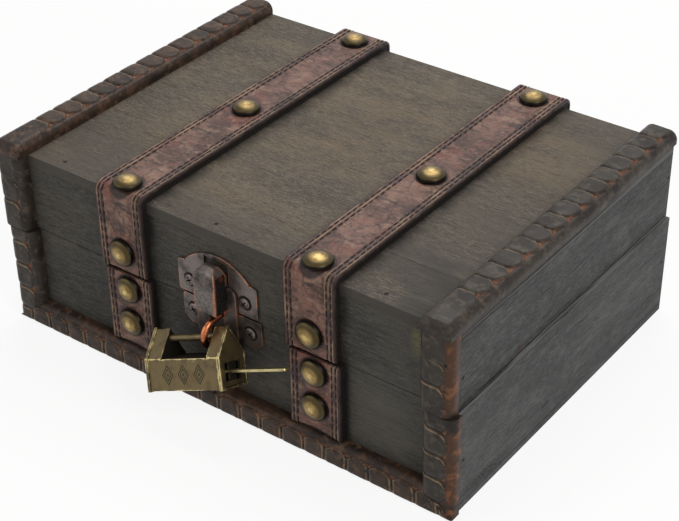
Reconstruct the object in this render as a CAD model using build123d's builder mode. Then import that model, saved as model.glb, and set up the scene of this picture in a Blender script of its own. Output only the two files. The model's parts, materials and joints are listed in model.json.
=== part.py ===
"""Treasure chest box: a wooden box with a hinged lid, straps, a hasp and a sliding-bolt padlock.

Millimetres. +X is to the right seen from the front, the front looks along -Y and +Z is up.
The origin is the middle of the base box's footprint, on the surface that the box stands on.
"""
import os

from build123d import *

os.makedirs("parts", exist_ok=True)

# Box
box_length = 220.0
box_depth = 158.0
base_height = 46.5
lid_height = 34.4
seam_gap = 0.3
wall = 6.0
top_thickness = 4.5
bottom_thickness = 3.0
rebate_width = 3.0
lid_shift = -1.7  # the lid hangs this much to the left of the base
hardware_shift = 1.8  # straps and latch sit this much to the right of the middle
overrun = 2.0  # every cut runs this much past the face that it starts from
pin_clearance = 0.05  # round every pin, nail and screw shank

# Mouldings: half-round strips on the edges
moulding_inboard = 13.4
moulding_overhang = 1.0
moulding_rise = 5.8
moulding_round = 4.0
moulding_end_round = 2.6
foot_height = 10.8
foot_low_round = 1.5

# Straps: a batten with a leather facing
strap_offset = 46.25  # from the middle of the hardware to the middle of a strap
batten_width = 23.0
batten_thickness = 2.6
leather_width = 24.0
leather_thickness = 1.4
strap_seam_gap = 0.3
back_strap_gap = 4.0  # the straps stop this far from the seam at the back, so that the lid can swing

# Dome studs
stud_radius = 6.0
stud_rim = 0.5
stud_height = 2.8
stud_shank_radius = 0.9
stud_bite = 2.5  # how far the shank goes into the board
stud_point = 0.9
top_stud_inset = 2.5
middle_stud_forward = 4.0
back_stud_inset = 7.0
front_stud_rise = 9.7
base_stud_drop = 7.0
base_stud_spacing = 16.0
back_stud_rise = 18.0
base_back_stud_drop = 14.0

# Butt hinges
hinge_width = 22.0
hinge_leaf_thickness = 0.9
hinge_leaf_reach = 9.5
knuckle_radius = 1.9
hinge_pin_radius = 1.0
knuckle_gap = 0.2
hinge_screw_spacing = 12.0
hinge_screw_reach = 6.2

# Round-headed screws
screw_head_radius = 2.5
screw_head_height = 1.1
screw_shank_radius = 1.1
screw_length = 4.6
screw_point = 1.2
hinge_screw_head_radius = 1.7
hinge_screw_head_height = 0.7

# Latch plates
plate_thickness = 1.0
plate_half_width = 19.5
upper_plate_rise = 2.3  # above the lid's lower edge
ear_height = 14.0
ear_width = 3.7
ear_slope = 0.8
upper_plate_height = 22.1
plate_corner = 1.2
lower_plate_overlap = 1.7  # above the base's upper edge
lower_plate_relief = 0.3
lower_ear_height = 9.8
lower_ear_depth = 3.5
lower_ear_width = 3.5
lobe_half_width = 10.0
lobe_neck = 0.6
lobe_depth = 8.0
upper_screw_offset = 13.6
upper_screw_rise = 6.1
lower_screw_offset = 14.1
lower_screw_drop = 6.2

# Hasp and its pin
hasp_pin_radius = 0.95
hasp_pin_rise = 15.6  # above the upper plate's lower edge
hasp_pin_proud = 4.4  # in front of the lid
hood_radius = 4.1
hood_half_width = 5.3
hood_wall = 0.9
hood_rise = 0.2
hood_back_angle = 115.0
hood_top_clearance = 0.5
hasp_gap = 0.3
hasp_thickness = 0.9
hasp_half_width = 10.0
hasp_shoulder = 5.2  # the strap's shoulders lie this far below the pin
hasp_length = 30.4
hasp_corner = 3.8
hasp_toe_corner = 7.5
slot_half_width = 3.6
window_clearance = 0.5
window_low = 4.7  # below the pin
eye_radius = 1.9
eye_half_width = 2.9
eye_tab = 0.8

# Staple
wire_radius = 1.4
staple_bend = 5.2
staple_reach = 7.0
staple_drop = 6.35  # from the base's upper edge to the middle of the staple
staple_bite = 2.5

# Padlock
lock_length = 34.9
lock_depth = 16.1
lock_shoulder = 12.4
lock_height = 23.3
lock_post = 6.6
lock_wall = 2.5
bar_radius = 1.4
bar_drop = 3.8  # from the ridge to the cross bar's axis
bar_from_right = 9.1  # the staple crosses the bar this far from the key plate's face
bar_hold = 3.3  # how far the bar's tip goes into the right post
bar_bore_gap = 0.08
lock_forward = 8.35  # the bar crosses the staple this far in front of the base
lock_drop = 7.7  # and this far below the base's upper edge
lock_yaw = 10.0
lock_pitch = -20.0
lock_roll = -24.0
key_plate_thickness = 1.2
key_plate_rim = 0.9
key_plate_dish = 0.5
lock_edge = 0.4
bolt_plate_thickness = 1.2
chamber_half_depth = 5.0
chamber_half_height = 3.6
collar_length = 2.5
collar_half_depth = 3.0
collar_half_height = 2.4
stem_half_depth = 1.2
stem_half_height = 1.5
stem_inset = 12.9  # from the stem's tip to the key plate's face
leaf_thickness = 0.4
leaf_half_height = 1.4
leaf_spread = 3.0
leaf_gap = 0.7
key_width = 4.2
key_thickness = 1.0
key_reach = 25.2  # outside the key plate
key_insert = 2.6  # inside the key plate
prong_length = 3.4
prong_inner = 2.0
prong_outer = 3.4
slot_gap = 0.2
key_slot_bar = 1.7
key_slot_height = 3.3
key_bow_round = 1.2

# Places that follow from the sizes
half_length = box_length / 2
hinge_offset = (strap_offset + leather_width / 2 + half_length) / 2  # midway from strap to end
front_y = -box_depth / 2
back_y = box_depth / 2
lid_low = base_height + seam_gap
lid_top_z = lid_low + lid_height
lid_roof = lid_top_z - top_thickness
inner_half_length = half_length - wall
inner_half_depth = back_y - wall
strap_thickness = batten_thickness + leather_thickness
lid_middle = lid_shift + hardware_shift
base_middle = hardware_shift
sides = {"left": -1, "right": 1}


def save(piece, name):
    """Label a finished piece and write its file."""
    piece.part.label = name
    export_step(piece.part, f"parts/{name}.step")


def front_plane(proud):
    """The plane parallel to the front boards, this far in front of them; local y is up."""
    return Plane.XZ.offset(-front_y + proud)


def back_plane(proud):
    """The plane parallel to the back boards, this far behind them; local x runs to the left."""
    return Plane.XZ.rotated((0, 180, 0)).offset(back_y + proud)


def cut_block(low, high):
    """A private block between two corners, for a cut or a plain piece."""
    size = Vector(*high) - Vector(*low)
    middle = (Vector(*high) + Vector(*low)) / 2
    with BuildPart() as block:
        with BuildSketch(Plane.XY.offset(low[2])):
            with Locations((middle.X, middle.Y)):
                Rectangle(size.X, size.Y)
        extrude(amount=size.Z)
    return block.part


# Where the studs stand: a plane on the leather for each, with its local z outwards
def stud_planes(middle, kind):
    planes = []
    for side in sides.values():
        x = middle + side * strap_offset
        top = lid_top_z + strap_thickness
        front = front_y - strap_thickness
        back = back_y + strap_thickness
        if kind == "lid":
            for y in (front_y + top_stud_inset, -middle_stud_forward, back_y - back_stud_inset):
                planes.append(Plane((x, y, top), x_dir=(1, 0, 0), z_dir=(0, 0, 1)))
            planes.append(Plane((x, front, lid_low + front_stud_rise), x_dir=(1, 0, 0), z_dir=(0, -1, 0)))
            planes.append(Plane((x, back, lid_low + back_stud_rise), x_dir=(-1, 0, 0), z_dir=(0, 1, 0)))
        else:
            for count in range(2):
                z = base_height - base_stud_drop - count * base_stud_spacing
                planes.append(Plane((x, front, z), x_dir=(1, 0, 0), z_dir=(0, -1, 0)))
            z = base_height - base_back_stud_drop
            planes.append(Plane((x, back, z), x_dir=(-1, 0, 0), z_dir=(0, 1, 0)))
    return planes


lid_stud_planes = stud_planes(lid_middle, "lid")
base_stud_planes = stud_planes(base_middle, "base")


def nail(head_radius, rim, head_height, shank_radius, length, point):
    """A domed head on a pointed shank, standing on the local XY plane."""
    with BuildPart() as fastener:
        with BuildSketch(Plane.XZ):
            with BuildLine():
                Polyline(
                    (0, head_height),
                    (0, -length),
                    (shank_radius, point - length),
                    (shank_radius, 0),
                    (head_radius, 0),
                    (head_radius, rim),
                )
                TangentArc((0, head_height), (head_radius, rim), tangent=(1, 0))
            make_face()
        revolve(axis=Axis.Z)
    return fastener.part


stud = nail(
    stud_radius, stud_rim, stud_height, stud_shank_radius, strap_thickness + stud_bite, stud_point
)
latch_screw = nail(
    screw_head_radius,
    screw_head_height / 4,
    screw_head_height,
    screw_shank_radius,
    screw_length,
    screw_point,
)
hinge_screw = nail(
    hinge_screw_head_radius,
    hinge_screw_head_height / 4,
    hinge_screw_head_height,
    screw_shank_radius,
    screw_length,
    screw_point,
)


def drill(planes, radius, depth):
    """Cut a round hole of this depth into the part in hand, down from each plane."""
    for plane in planes:
        with BuildSketch(plane.offset(overrun)) as hole:
            Circle(radius)
        extrude(hole.sketch, amount=-(depth + overrun), mode=Mode.SUBTRACT)


def stud_holes(planes):
    drill(planes, stud_shank_radius + pin_clearance, strap_thickness + stud_bite + pin_clearance)


# Latch and hinge places
upper_low = lid_low + upper_plate_rise
lower_top = base_height + lower_plate_overlap
upper_screw_planes = [
    front_plane(plate_thickness).shift_origin(
        (lid_middle + side * upper_screw_offset, front_y - plate_thickness, upper_low + upper_screw_rise)
    )
    for side in sides.values()
]
lower_screw_planes = [
    front_plane(plate_thickness).shift_origin(
        (base_middle + side * lower_screw_offset, front_y - plate_thickness, lower_top - lower_screw_drop)
    )
    for side in sides.values()
]
hinge_y = back_y + knuckle_radius
hinge_z = base_height + seam_gap / 2


def hinge_screw_planes(middle, up):
    """Screw places on one row of hinge leaves: up is 1 for the lid's leaves and -1 for the base's."""
    y = back_y + hinge_leaf_thickness
    z = hinge_z + up * hinge_screw_reach
    planes = []
    for side in sides.values():
        for end in sides.values():
            x = middle + side * hinge_offset + end * hinge_screw_spacing / 2
            planes.append(Plane((x, y, z), x_dir=(-1, 0, 0), z_dir=(0, 1, 0)))
    return planes


lid_hinge_screws = hinge_screw_planes(0, 1)
base_hinge_screws = hinge_screw_planes(0, -1)
screw_hole = screw_shank_radius + pin_clearance
screw_depth = screw_length + pin_clearance
staple_z = base_height - staple_drop
staple_planes = [
    front_plane(0).shift_origin((base_middle, front_y, staple_z + end * staple_bend))
    for end in sides.values()
]

# Base box
with BuildPart() as base_front:
    add(cut_block((-inner_half_length, front_y, 0), (inner_half_length, front_y + wall, base_height)))
    rebate = cut_block(
        (-half_length, -inner_half_depth - rebate_width, -overrun),
        (half_length, overrun, bottom_thickness),
    )
    add(rebate, mode=Mode.SUBTRACT)
    stud_holes(base_stud_planes)
    drill(lower_screw_planes, screw_hole, screw_depth)
    drill(staple_planes, wire_radius + pin_clearance, staple_bite + pin_clearance)
save(base_front, "base_front")

with BuildPart() as base_back:
    add(cut_block((-inner_half_length, back_y - wall, 0), (inner_half_length, back_y, base_height)))
    rebate = cut_block(
        (-half_length, -overrun, -overrun),
        (half_length, inner_half_depth + rebate_width, bottom_thickness),
    )
    add(rebate, mode=Mode.SUBTRACT)
    stud_holes(base_stud_planes)
    drill(base_hinge_screws, screw_hole, screw_depth)
save(base_back, "base_back")

for side_name, side in sides.items():
    with BuildPart() as base_end:
        add(cut_block((inner_half_length, front_y, 0), (half_length, back_y, base_height)))
        rebate = cut_block(
            (0, -inner_half_depth - rebate_width, -overrun),
            (inner_half_length + rebate_width, inner_half_depth + rebate_width, bottom_thickness),
        )
        add(rebate, mode=Mode.SUBTRACT)
        if side < 0:
            mirror(about=Plane.YZ, mode=Mode.REPLACE)
    save(base_end, f"base_{side_name}")

with BuildPart() as base_bottom:
    with BuildSketch():
        Rectangle(2 * (inner_half_length + rebate_width), 2 * (inner_half_depth + rebate_width))
    extrude(amount=bottom_thickness)
save(base_bottom, "base_bottom")

# Lid box: the top board lies over the four walls
with BuildPart() as lid_front:
    add(
        cut_block(
            (lid_shift - inner_half_length, front_y, lid_low),
            (lid_shift + inner_half_length, front_y + wall, lid_roof),
        )
    )
    stud_holes(lid_stud_planes)
    drill(upper_screw_planes, screw_hole, screw_depth)
save(lid_front, "lid_front")

with BuildPart() as lid_back:
    add(
        cut_block(
            (lid_shift - inner_half_length, back_y - wall, lid_low),
            (lid_shift + inner_half_length, back_y, lid_roof),
        )
    )
    stud_holes(lid_stud_planes)
    drill(lid_hinge_screws, screw_hole, screw_depth)
save(lid_back, "lid_back")

for side_name, side in sides.items():
    ends = sorted((side * inner_half_length, side * half_length))
    with BuildPart() as lid_end:
        add(
            cut_block(
                (lid_shift + ends[0], front_y, lid_low),
                (lid_shift + ends[1], back_y, lid_roof),
            )
        )
    save(lid_end, f"lid_{side_name}")

with BuildPart() as lid_top:
    add(
        cut_block(
            (lid_shift - half_length, front_y, lid_roof),
            (lid_shift + half_length, back_y, lid_top_z),
        )
    )
    stud_holes(lid_stud_planes)
save(lid_top, "lid_top")

# Mouldings
moulding_width = moulding_inboard + moulding_overhang
moulding_centre = half_length - moulding_inboard + moulding_width / 2
mitre_in = half_length - moulding_inboard
mitre_out = half_length + moulding_overhang


def upright(side, shift, low, high):
    """One upright corner moulding on the front, from one height to another."""
    with BuildPart() as strip:
        with BuildSketch(Plane.XY.offset(low)):
            with Locations((side * moulding_centre + shift, front_y - moulding_rise / 2)):
                Rectangle(moulding_width, moulding_rise)
        extrude(amount=high - low)
        fillet(strip.edges().filter_by(Axis.Z).group_by(Axis.Y)[0], moulding_round)
    return strip.part


def mitre_wedge(side, above):
    """The space above or below the foot's mitre, as a cutter."""
    far = mitre_out + overrun if above else mitre_in - overrun
    deep = overrun + moulding_rise
    drop = foot_height * overrun / (mitre_out - mitre_in)
    with BuildPart() as wedge:
        with BuildSketch(front_plane(-overrun)):
            with BuildLine():
                Polyline(
                    (side * (mitre_in - overrun), foot_height + drop),
                    (side * (mitre_out + overrun), -drop),
                    (side * far, foot_height + drop if above else -drop),
                    close=True,
                )
            make_face()
        extrude(amount=deep + overrun)
    return wedge.part


for side_name, side in sides.items():
    with BuildPart() as base_moulding:
        add(upright(side, 0, 0, base_height))
        add(mitre_wedge(side, False), mode=Mode.SUBTRACT)
    save(base_moulding, f"base_{side_name}_moulding")

    with BuildPart() as lid_moulding:
        add(upright(side, lid_shift, lid_low, lid_top_z))
    save(lid_moulding, f"lid_{side_name}_moulding")

    with BuildPart() as top_moulding:
        with BuildSketch(front_plane(moulding_rise)):
            with Locations((side * moulding_centre + lid_shift, lid_top_z + moulding_rise / 2)):
                Rectangle(moulding_width, moulding_rise)
        extrude(amount=-(box_depth + moulding_rise))
        fillet(top_moulding.edges().filter_by(Axis.Y).group_by(Axis.Z)[-1], moulding_round)
        end_edges = top_moulding.faces().group_by(Axis.Y)[0].edges()
        fillet(end_edges.group_by(Axis.Z)[-1], moulding_end_round)
    save(top_moulding, f"lid_{side_name}_top_moulding")

with BuildPart() as foot_moulding:
    with BuildSketch(Plane.YZ.offset(-mitre_out)):
        with Locations((front_y - moulding_rise / 2, foot_height / 2)):
            Rectangle(moulding_rise, foot_height)
    extrude(amount=2 * mitre_out)
    outer_edges = foot_moulding.edges().filter_by(Axis.X).group_by(Axis.Y)[0]
    fillet(outer_edges.sort_by(Axis.Z)[-1], moulding_round)
    lower_edge = foot_moulding.edges().filter_by(Axis.X).group_by(Axis.Y)[0].sort_by(Axis.Z)[0]
    fillet(lower_edge, foot_low_round)
    for side in sides.values():
        add(mitre_wedge(side, True), mode=Mode.SUBTRACT)
save(foot_moulding, "base_foot_moulding")


# Straps
def wrap(width, x, inner, outer):
    """A band over the lid from the seam at the front to near the seam at the back."""
    low = lid_low + strap_seam_gap
    with BuildPart() as band:
        with BuildSketch(Plane.YZ.offset(x - width / 2)) as outside:
            with Locations((0, low)):
                Rectangle(box_depth + 2 * outer, lid_top_z + outer - low, align=(Align.CENTER, Align.MIN))
            fillet(outside.vertices().group_by(Axis.Y)[-1], outer)
        extrude(amount=width)
        with BuildSketch(Plane.YZ.offset(x - width / 2 - overrun)) as inside:
            with Locations((0, low - overrun)):
                Rectangle(
                    box_depth + 2 * inner,
                    lid_top_z + inner - low + overrun,
                    align=(Align.CENTER, Align.MIN),
                )
            if inner > 0:
                fillet(inside.vertices().group_by(Axis.Y)[-1], inner)
        extrude(amount=width + 2 * overrun, mode=Mode.SUBTRACT)
        back_end = cut_block(
            (x - width, back_y - overrun, low - overrun),
            (x + width, back_y + outer + overrun, lid_low + back_strap_gap),
        )
        add(back_end, mode=Mode.SUBTRACT)
        stud_holes(lid_stud_planes)
    return band


for side_name, side in sides.items():
    lid_x = lid_middle + side * strap_offset
    base_x = base_middle + side * strap_offset
    save(wrap(batten_width, lid_x, 0, batten_thickness), f"lid_strap_batten_{side_name}")
    save(wrap(leather_width, lid_x, batten_thickness, strap_thickness), f"lid_strap_leather_{side_name}")

    layers = {
        "batten": (batten_width, 0, batten_thickness),
        "leather": (leather_width, batten_thickness, strap_thickness),
    }
    for layer_name, (width, inner, outer) in layers.items():
        with BuildPart() as front_strap:
            add(
                cut_block(
                    (base_x - width / 2, front_y - outer, foot_height),
                    (base_x + width / 2, front_y - inner, base_height - strap_seam_gap),
                )
            )
            stud_holes(base_stud_planes)
        save(front_strap, f"base_front_strap_{layer_name}_{side_name}")

        with BuildPart() as back_strap:
            add(
                cut_block(
                    (base_x - width / 2, back_y + inner, 0),
                    (base_x + width / 2, back_y + outer, base_height - back_strap_gap),
                )
            )
            stud_holes(base_stud_planes)
        save(back_strap, f"base_back_strap_{layer_name}_{side_name}")

# Studs and screws: like fasteners share one node
fasteners = {
    "lid_studs": (stud, lid_stud_planes),
    "base_studs": (stud, base_stud_planes),
    "latch_upper_screws": (latch_screw, upper_screw_planes),
    "latch_lower_screws": (latch_screw, lower_screw_planes),
    "hinge_lid_screws": (hinge_screw, lid_hinge_screws),
    "hinge_base_screws": (hinge_screw, base_hinge_screws),
}
for fastener_name, (fastener, places) in fasteners.items():
    with BuildPart() as group:
        with Locations(*places):
            add(fastener)
    save(group, fastener_name)

# Butt hinges: the lid's leaf has the middle knuckle and the base's leaf the outer two
knuckle_length = (hinge_width - 2 * knuckle_gap) / 3


def hinge_leaf(x, up, knuckle_spans, clear_spans):
    """One leaf: a plate on the back, cut clear of the other leaf's knuckles, with its own knuckles."""
    root = knuckle_radius + knuckle_gap
    with BuildPart() as leaf:
        low, high = sorted((hinge_z, hinge_z + up * hinge_leaf_reach))
        add(
            cut_block(
                (x - hinge_width / 2, back_y, low),
                (x + hinge_width / 2, back_y + hinge_leaf_thickness, high),
            )
        )
        for start, end in clear_spans:
            low, high = sorted((hinge_z - up * overrun, hinge_z + up * root))
            add(
                cut_block((x + start, back_y - overrun, low), (x + end, hinge_y, high)),
                mode=Mode.SUBTRACT,
            )
        for start, end in knuckle_spans:
            with BuildSketch(Plane.YZ.offset(x + start)):
                with Locations((hinge_y, hinge_z)):
                    Circle(knuckle_radius)
            extrude(amount=end - start)
        with BuildSketch(Plane.YZ.offset(x - hinge_width)):
            with Locations((hinge_y, hinge_z)):
                Circle(hinge_pin_radius + pin_clearance)
        extrude(amount=2 * hinge_width, mode=Mode.SUBTRACT)
        places = lid_hinge_screws if up > 0 else base_hinge_screws
        drill(places, screw_hole, screw_depth)
    return leaf


half_knuckle = knuckle_length / 2
half_hinge = hinge_width / 2
middle_span = [(-half_knuckle, half_knuckle)]
outer_spans = [(-half_hinge, -half_knuckle - knuckle_gap), (half_knuckle + knuckle_gap, half_hinge)]
clear_middle = [(-half_knuckle - knuckle_gap, half_knuckle + knuckle_gap)]
clear_outer = [(-half_hinge - overrun, -half_knuckle), (half_knuckle, half_hinge + overrun)]
for side_name, side in sides.items():
    hinge_x = side * hinge_offset
    save(hinge_leaf(hinge_x, 1, middle_span, clear_outer), f"hinge_lid_leaf_{side_name}")
    save(hinge_leaf(hinge_x, -1, outer_spans, clear_middle), f"hinge_base_leaf_{side_name}")

with BuildPart() as hinge_pins:
    for side in sides.values():
        with BuildSketch(Plane.YZ.offset(side * hinge_offset - half_hinge)):
            with Locations((hinge_y, hinge_z)):
                Circle(hinge_pin_radius)
        extrude(amount=hinge_width)
save(hinge_pins, "hinge_pins")

# Latch: upper plate with its window and the rolled eye that carries the hasp's pin
pin_y = front_y - hasp_pin_proud
pin_z = upper_low + hasp_pin_rise
ear_z = upper_low + ear_height
arch_half_width = plate_half_width - ear_width
window_half_width = hood_half_width + window_clearance
window_top = hood_radius + window_clearance

with BuildPart() as upper_plate:
    with BuildSketch(front_plane(0)) as outline:
        with BuildLine():
            Polyline(
                (lid_middle - arch_half_width, ear_z + ear_slope),
                (lid_middle - plate_half_width, ear_z),
                (lid_middle - plate_half_width, upper_low),
                (lid_middle + plate_half_width, upper_low),
                (lid_middle + plate_half_width, ear_z),
                (lid_middle + arch_half_width, ear_z + ear_slope),
            )
            ThreePointArc(
                (lid_middle + arch_half_width, ear_z + ear_slope),
                (lid_middle, upper_low + upper_plate_height),
                (lid_middle - arch_half_width, ear_z + ear_slope),
            )
        make_face()
        ear_corners = outline.vertices().group_by(Axis.X)
        fillet(ear_corners[0] + ear_corners[-1], plate_corner)
        with Locations((lid_middle, pin_z + (window_top - window_low) / 2)):
            Rectangle(2 * window_half_width, window_top + window_low, mode=Mode.SUBTRACT)
    extrude(amount=plate_thickness)
    drill(upper_screw_planes, screw_hole, screw_depth)
    with BuildSketch(Plane.YZ.offset(lid_middle - eye_half_width)):
        with BuildLine():
            Polyline(
                (front_y, pin_z - window_low - eye_tab),
                (front_y, pin_z - window_low + eye_tab),
                (pin_y + eye_tab, pin_z - eye_radius + eye_tab),
                (pin_y, pin_z - eye_radius),
                (front_y - plate_thickness, pin_z - window_low - eye_tab),
                close=True,
            )
        make_face()
        with Locations((pin_y, pin_z)):
            Circle(eye_radius)
    extrude(amount=2 * eye_half_width)
    with BuildSketch(Plane.YZ.offset(lid_middle - plate_half_width)):
        with Locations((pin_y, pin_z)):
            Circle(hasp_pin_radius + pin_clearance)
    extrude(amount=2 * plate_half_width, mode=Mode.SUBTRACT)
save(upper_plate, "latch_upper_plate")

with BuildPart() as hasp_pin:
    with BuildSketch(Plane.YZ.offset(lid_middle - hood_half_width)):
        with Locations((pin_y, pin_z)):
            Circle(hasp_pin_radius)
    extrude(amount=2 * hood_half_width)
save(hasp_pin, "hasp_pin")


# Hasp: a strap with a hollow hood, arched seen from the front and round over the pin from the side
def hood_block(half_width, radius, low, back):
    """The hood's solid outer or inner shape."""
    far = Vector(radius, 0).rotate(Axis.Z, hood_back_angle)
    midway = Vector(radius, 0).rotate(Axis.Z, hood_back_angle / 2)
    back_point = (pin_y - far.X, pin_z + far.Y)
    with BuildPart() as block:
        with BuildSketch(Plane.YZ.offset(lid_middle - half_width)):
            with BuildLine():
                Line((pin_y - radius, low), (pin_y - radius, pin_z))
                ThreePointArc(
                    (pin_y - radius, pin_z), (pin_y - midway.X, pin_z + midway.Y), back_point
                )
                Polyline(back_point, (back, pin_z - hood_wall), (back, low), (pin_y - radius, low))
            make_face()
        extrude(amount=2 * half_width)
        with BuildSketch(front_plane(-overrun)):
            arch_z = pin_z + radius + hood_top_clearance - half_width
            with Locations((lid_middle, (arch_z + low) / 2)):
                Rectangle(2 * half_width, arch_z - low)
            with Locations((lid_middle, arch_z)):
                Circle(half_width)
        extrude(amount=hasp_pin_proud + hood_radius + 2 * overrun, mode=Mode.INTERSECT)
    return block.part


hasp_back = front_y - plate_thickness - hasp_gap
hood_low = upper_low + hood_rise
hasp_top = pin_z - hasp_shoulder
hasp_low = hasp_top - hasp_length
slot_low = staple_z - staple_bend - wire_radius - hasp_gap
hood_inside = hood_half_width - hood_wall
with BuildPart() as hood:
    add(hood_block(hood_half_width, hood_radius, hood_low, hasp_back))
    add(
        hood_block(hood_inside, hood_radius - hood_wall, hood_low - overrun, hasp_back + overrun),
        mode=Mode.SUBTRACT,
    )

with BuildPart() as hasp:
    with BuildSketch(front_plane(plate_thickness + hasp_gap)) as strap_outline:
        with Locations((lid_middle, (hasp_top + hasp_low) / 2)):
            Rectangle(2 * hasp_half_width, hasp_length)
        fillet(strap_outline.vertices().group_by(Axis.Y)[-1], hasp_corner)
        fillet(strap_outline.vertices().group_by(Axis.Y)[0], hasp_toe_corner)
        with Locations((lid_middle, (slot_low + hood_low) / 2)):
            Rectangle(2 * slot_half_width, hood_low - slot_low, mode=Mode.SUBTRACT)
        with Locations((lid_middle, (hood_low + hasp_top + overrun) / 2)):
            Rectangle(2 * hood_inside, hasp_top + overrun - hood_low, mode=Mode.SUBTRACT)
    extrude(amount=hasp_thickness)
    add(hood.part)
    with BuildSketch(Plane.YZ.offset(lid_middle - plate_half_width)):
        with Locations((pin_y, pin_z)):
            Circle(hasp_pin_radius + pin_clearance)
    extrude(amount=2 * plate_half_width, mode=Mode.SUBTRACT)
save(hasp, "latch_hasp")

# Lower plate: eared at the sides, with a round lobe below
ear_low = lower_top - lower_ear_height
neck_z = ear_low - lower_ear_depth + lobe_neck
with BuildPart() as lower_plate:
    with BuildSketch(front_plane(0)) as outline:
        with BuildLine():
            for side in sides.values():
                Line((base_middle, lower_top), (base_middle + side * plate_half_width, lower_top))
                Line(
                    (base_middle + side * plate_half_width, lower_top),
                    (base_middle + side * plate_half_width, ear_low),
                )
                Line(
                    (base_middle + side * plate_half_width, ear_low),
                    (base_middle + side * (plate_half_width - lower_ear_width), ear_low - lower_ear_depth),
                )
                Line(
                    (base_middle + side * (plate_half_width - lower_ear_width), ear_low - lower_ear_depth),
                    (base_middle + side * lobe_half_width, neck_z),
                )
            ThreePointArc(
                (base_middle - lobe_half_width, neck_z),
                (base_middle, neck_z - lobe_depth),
                (base_middle + lobe_half_width, neck_z),
            )
        make_face()
        fillet(outline.vertices().group_by(Axis.Y)[-1], plate_corner)
    extrude(amount=plate_thickness)
    relief = cut_block(
        (-half_length, front_y - lower_plate_relief, base_height - lower_plate_relief),
        (half_length, front_y + overrun, lower_top + overrun),
    )
    add(relief, mode=Mode.SUBTRACT)
    drill(lower_screw_planes, screw_hole, screw_depth)
    drill([plane.offset(plate_thickness) for plane in staple_planes], wire_radius + pin_clearance, wall)
save(lower_plate, "latch_lower_plate")

with BuildPart() as staple:
    with BuildLine():
        Polyline(
            (base_middle, front_y + staple_bite, staple_z + staple_bend),
            (base_middle, front_y - staple_reach, staple_z + staple_bend),
        )
        ThreePointArc(
            (base_middle, front_y - staple_reach, staple_z + staple_bend),
            (base_middle, front_y - staple_reach - staple_bend, staple_z),
            (base_middle, front_y - staple_reach, staple_z - staple_bend),
        )
        Polyline(
            (base_middle, front_y - staple_reach, staple_z - staple_bend),
            (base_middle, front_y + staple_bite, staple_z - staple_bend),
        )
    with BuildSketch(Plane((base_middle, front_y + staple_bite, staple_z + staple_bend), z_dir=(0, -1, 0))):
        Circle(wire_radius)
    sweep()
save(staple, "latch_staple")


# Padlock: built on its own plane, u along the cross bar, v backwards and w up
def turned(vector):
    tilted = Vector(*vector).rotate(Axis.X, lock_roll).rotate(Axis.Y, lock_pitch)
    return tilted.rotate(Axis.Z, lock_yaw)


lock_u = turned((1, 0, 0))
lock_v = turned((0, 1, 0))
lock_w = turned((0, 0, 1))
lock_origin = Vector(base_middle, front_y - lock_forward, base_height - lock_drop)


def lock_section(u):
    """The plane across the lock at this place along its bar: local x is v and local y is w."""
    return Plane(lock_origin + lock_u * u, x_dir=lock_v, z_dir=lock_u)


def lock_level(w):
    """The plane level with the lock's floor at this height over its bar: local x is u, y is v."""
    return Plane(lock_origin + lock_w * w, x_dir=lock_u, z_dir=lock_w)


right_u = bar_from_right
left_u = right_u - lock_length
plate_u = right_u - key_plate_thickness
floor_w = bar_drop - lock_height
shoulder_w = floor_w + lock_shoulder
chamber_w = floor_w + lock_shoulder / 2
half_depth = lock_depth / 2


def gable(edge):
    """The lock's house-shaped section, grown by an edge all round, in the sketch in hand."""
    Polygon(
        (-half_depth, floor_w),
        (half_depth, floor_w),
        (half_depth, shoulder_w),
        (0, bar_drop),
        (-half_depth, shoulder_w),
        align=None,
    )
    if edge != 0:
        offset(amount=edge, kind=Kind.INTERSECTION, mode=Mode.REPLACE)


with BuildPart() as lock_body:
    with BuildSketch(lock_section(left_u)):
        gable(0)
    extrude(amount=plate_u - left_u)
    with BuildSketch(lock_section(left_u + lock_post)):
        with Locations((0, shoulder_w)):
            Rectangle(lock_depth + 2 * overrun, lock_height, align=(Align.CENTER, Align.MIN))
    extrude(amount=lock_length - 2 * lock_post, mode=Mode.SUBTRACT)
    with BuildSketch(lock_section(left_u + collar_length)):
        with Locations((0, chamber_w)):
            Rectangle(2 * chamber_half_depth, 2 * chamber_half_height)
    extrude(amount=lock_length, mode=Mode.SUBTRACT)
    with BuildSketch(lock_section(left_u - overrun)):
        with Locations((0, chamber_w)):
            Rectangle(2 * collar_half_depth, 2 * collar_half_height)
    extrude(amount=collar_length + 2 * overrun, mode=Mode.SUBTRACT)
    with BuildSketch(lock_section(left_u - overrun)):
        Circle(bar_radius + bar_bore_gap)
    extrude(amount=lock_length - lock_post + bar_hold + overrun, mode=Mode.SUBTRACT)
save(lock_body, "padlock_body")

with BuildPart() as key_plate:
    with BuildSketch(lock_section(plate_u)):
        gable(lock_edge)
    extrude(amount=key_plate_thickness)
    with BuildSketch(lock_section(right_u - key_plate_dish)):
        gable(lock_edge - key_plate_rim)
    extrude(amount=key_plate_thickness, mode=Mode.SUBTRACT)
    with BuildSketch(lock_section(plate_u - overrun)):
        with Locations((0, chamber_w)):
            Rectangle(2 * (prong_outer + slot_gap), key_thickness + 2 * slot_gap)
        with Locations((-prong_outer, chamber_w), (prong_outer, chamber_w)):
            Rectangle(key_slot_bar, 2 * key_slot_height)
    extrude(amount=key_plate_thickness + 2 * overrun, mode=Mode.SUBTRACT)
save(key_plate, "padlock_key_plate")

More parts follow.
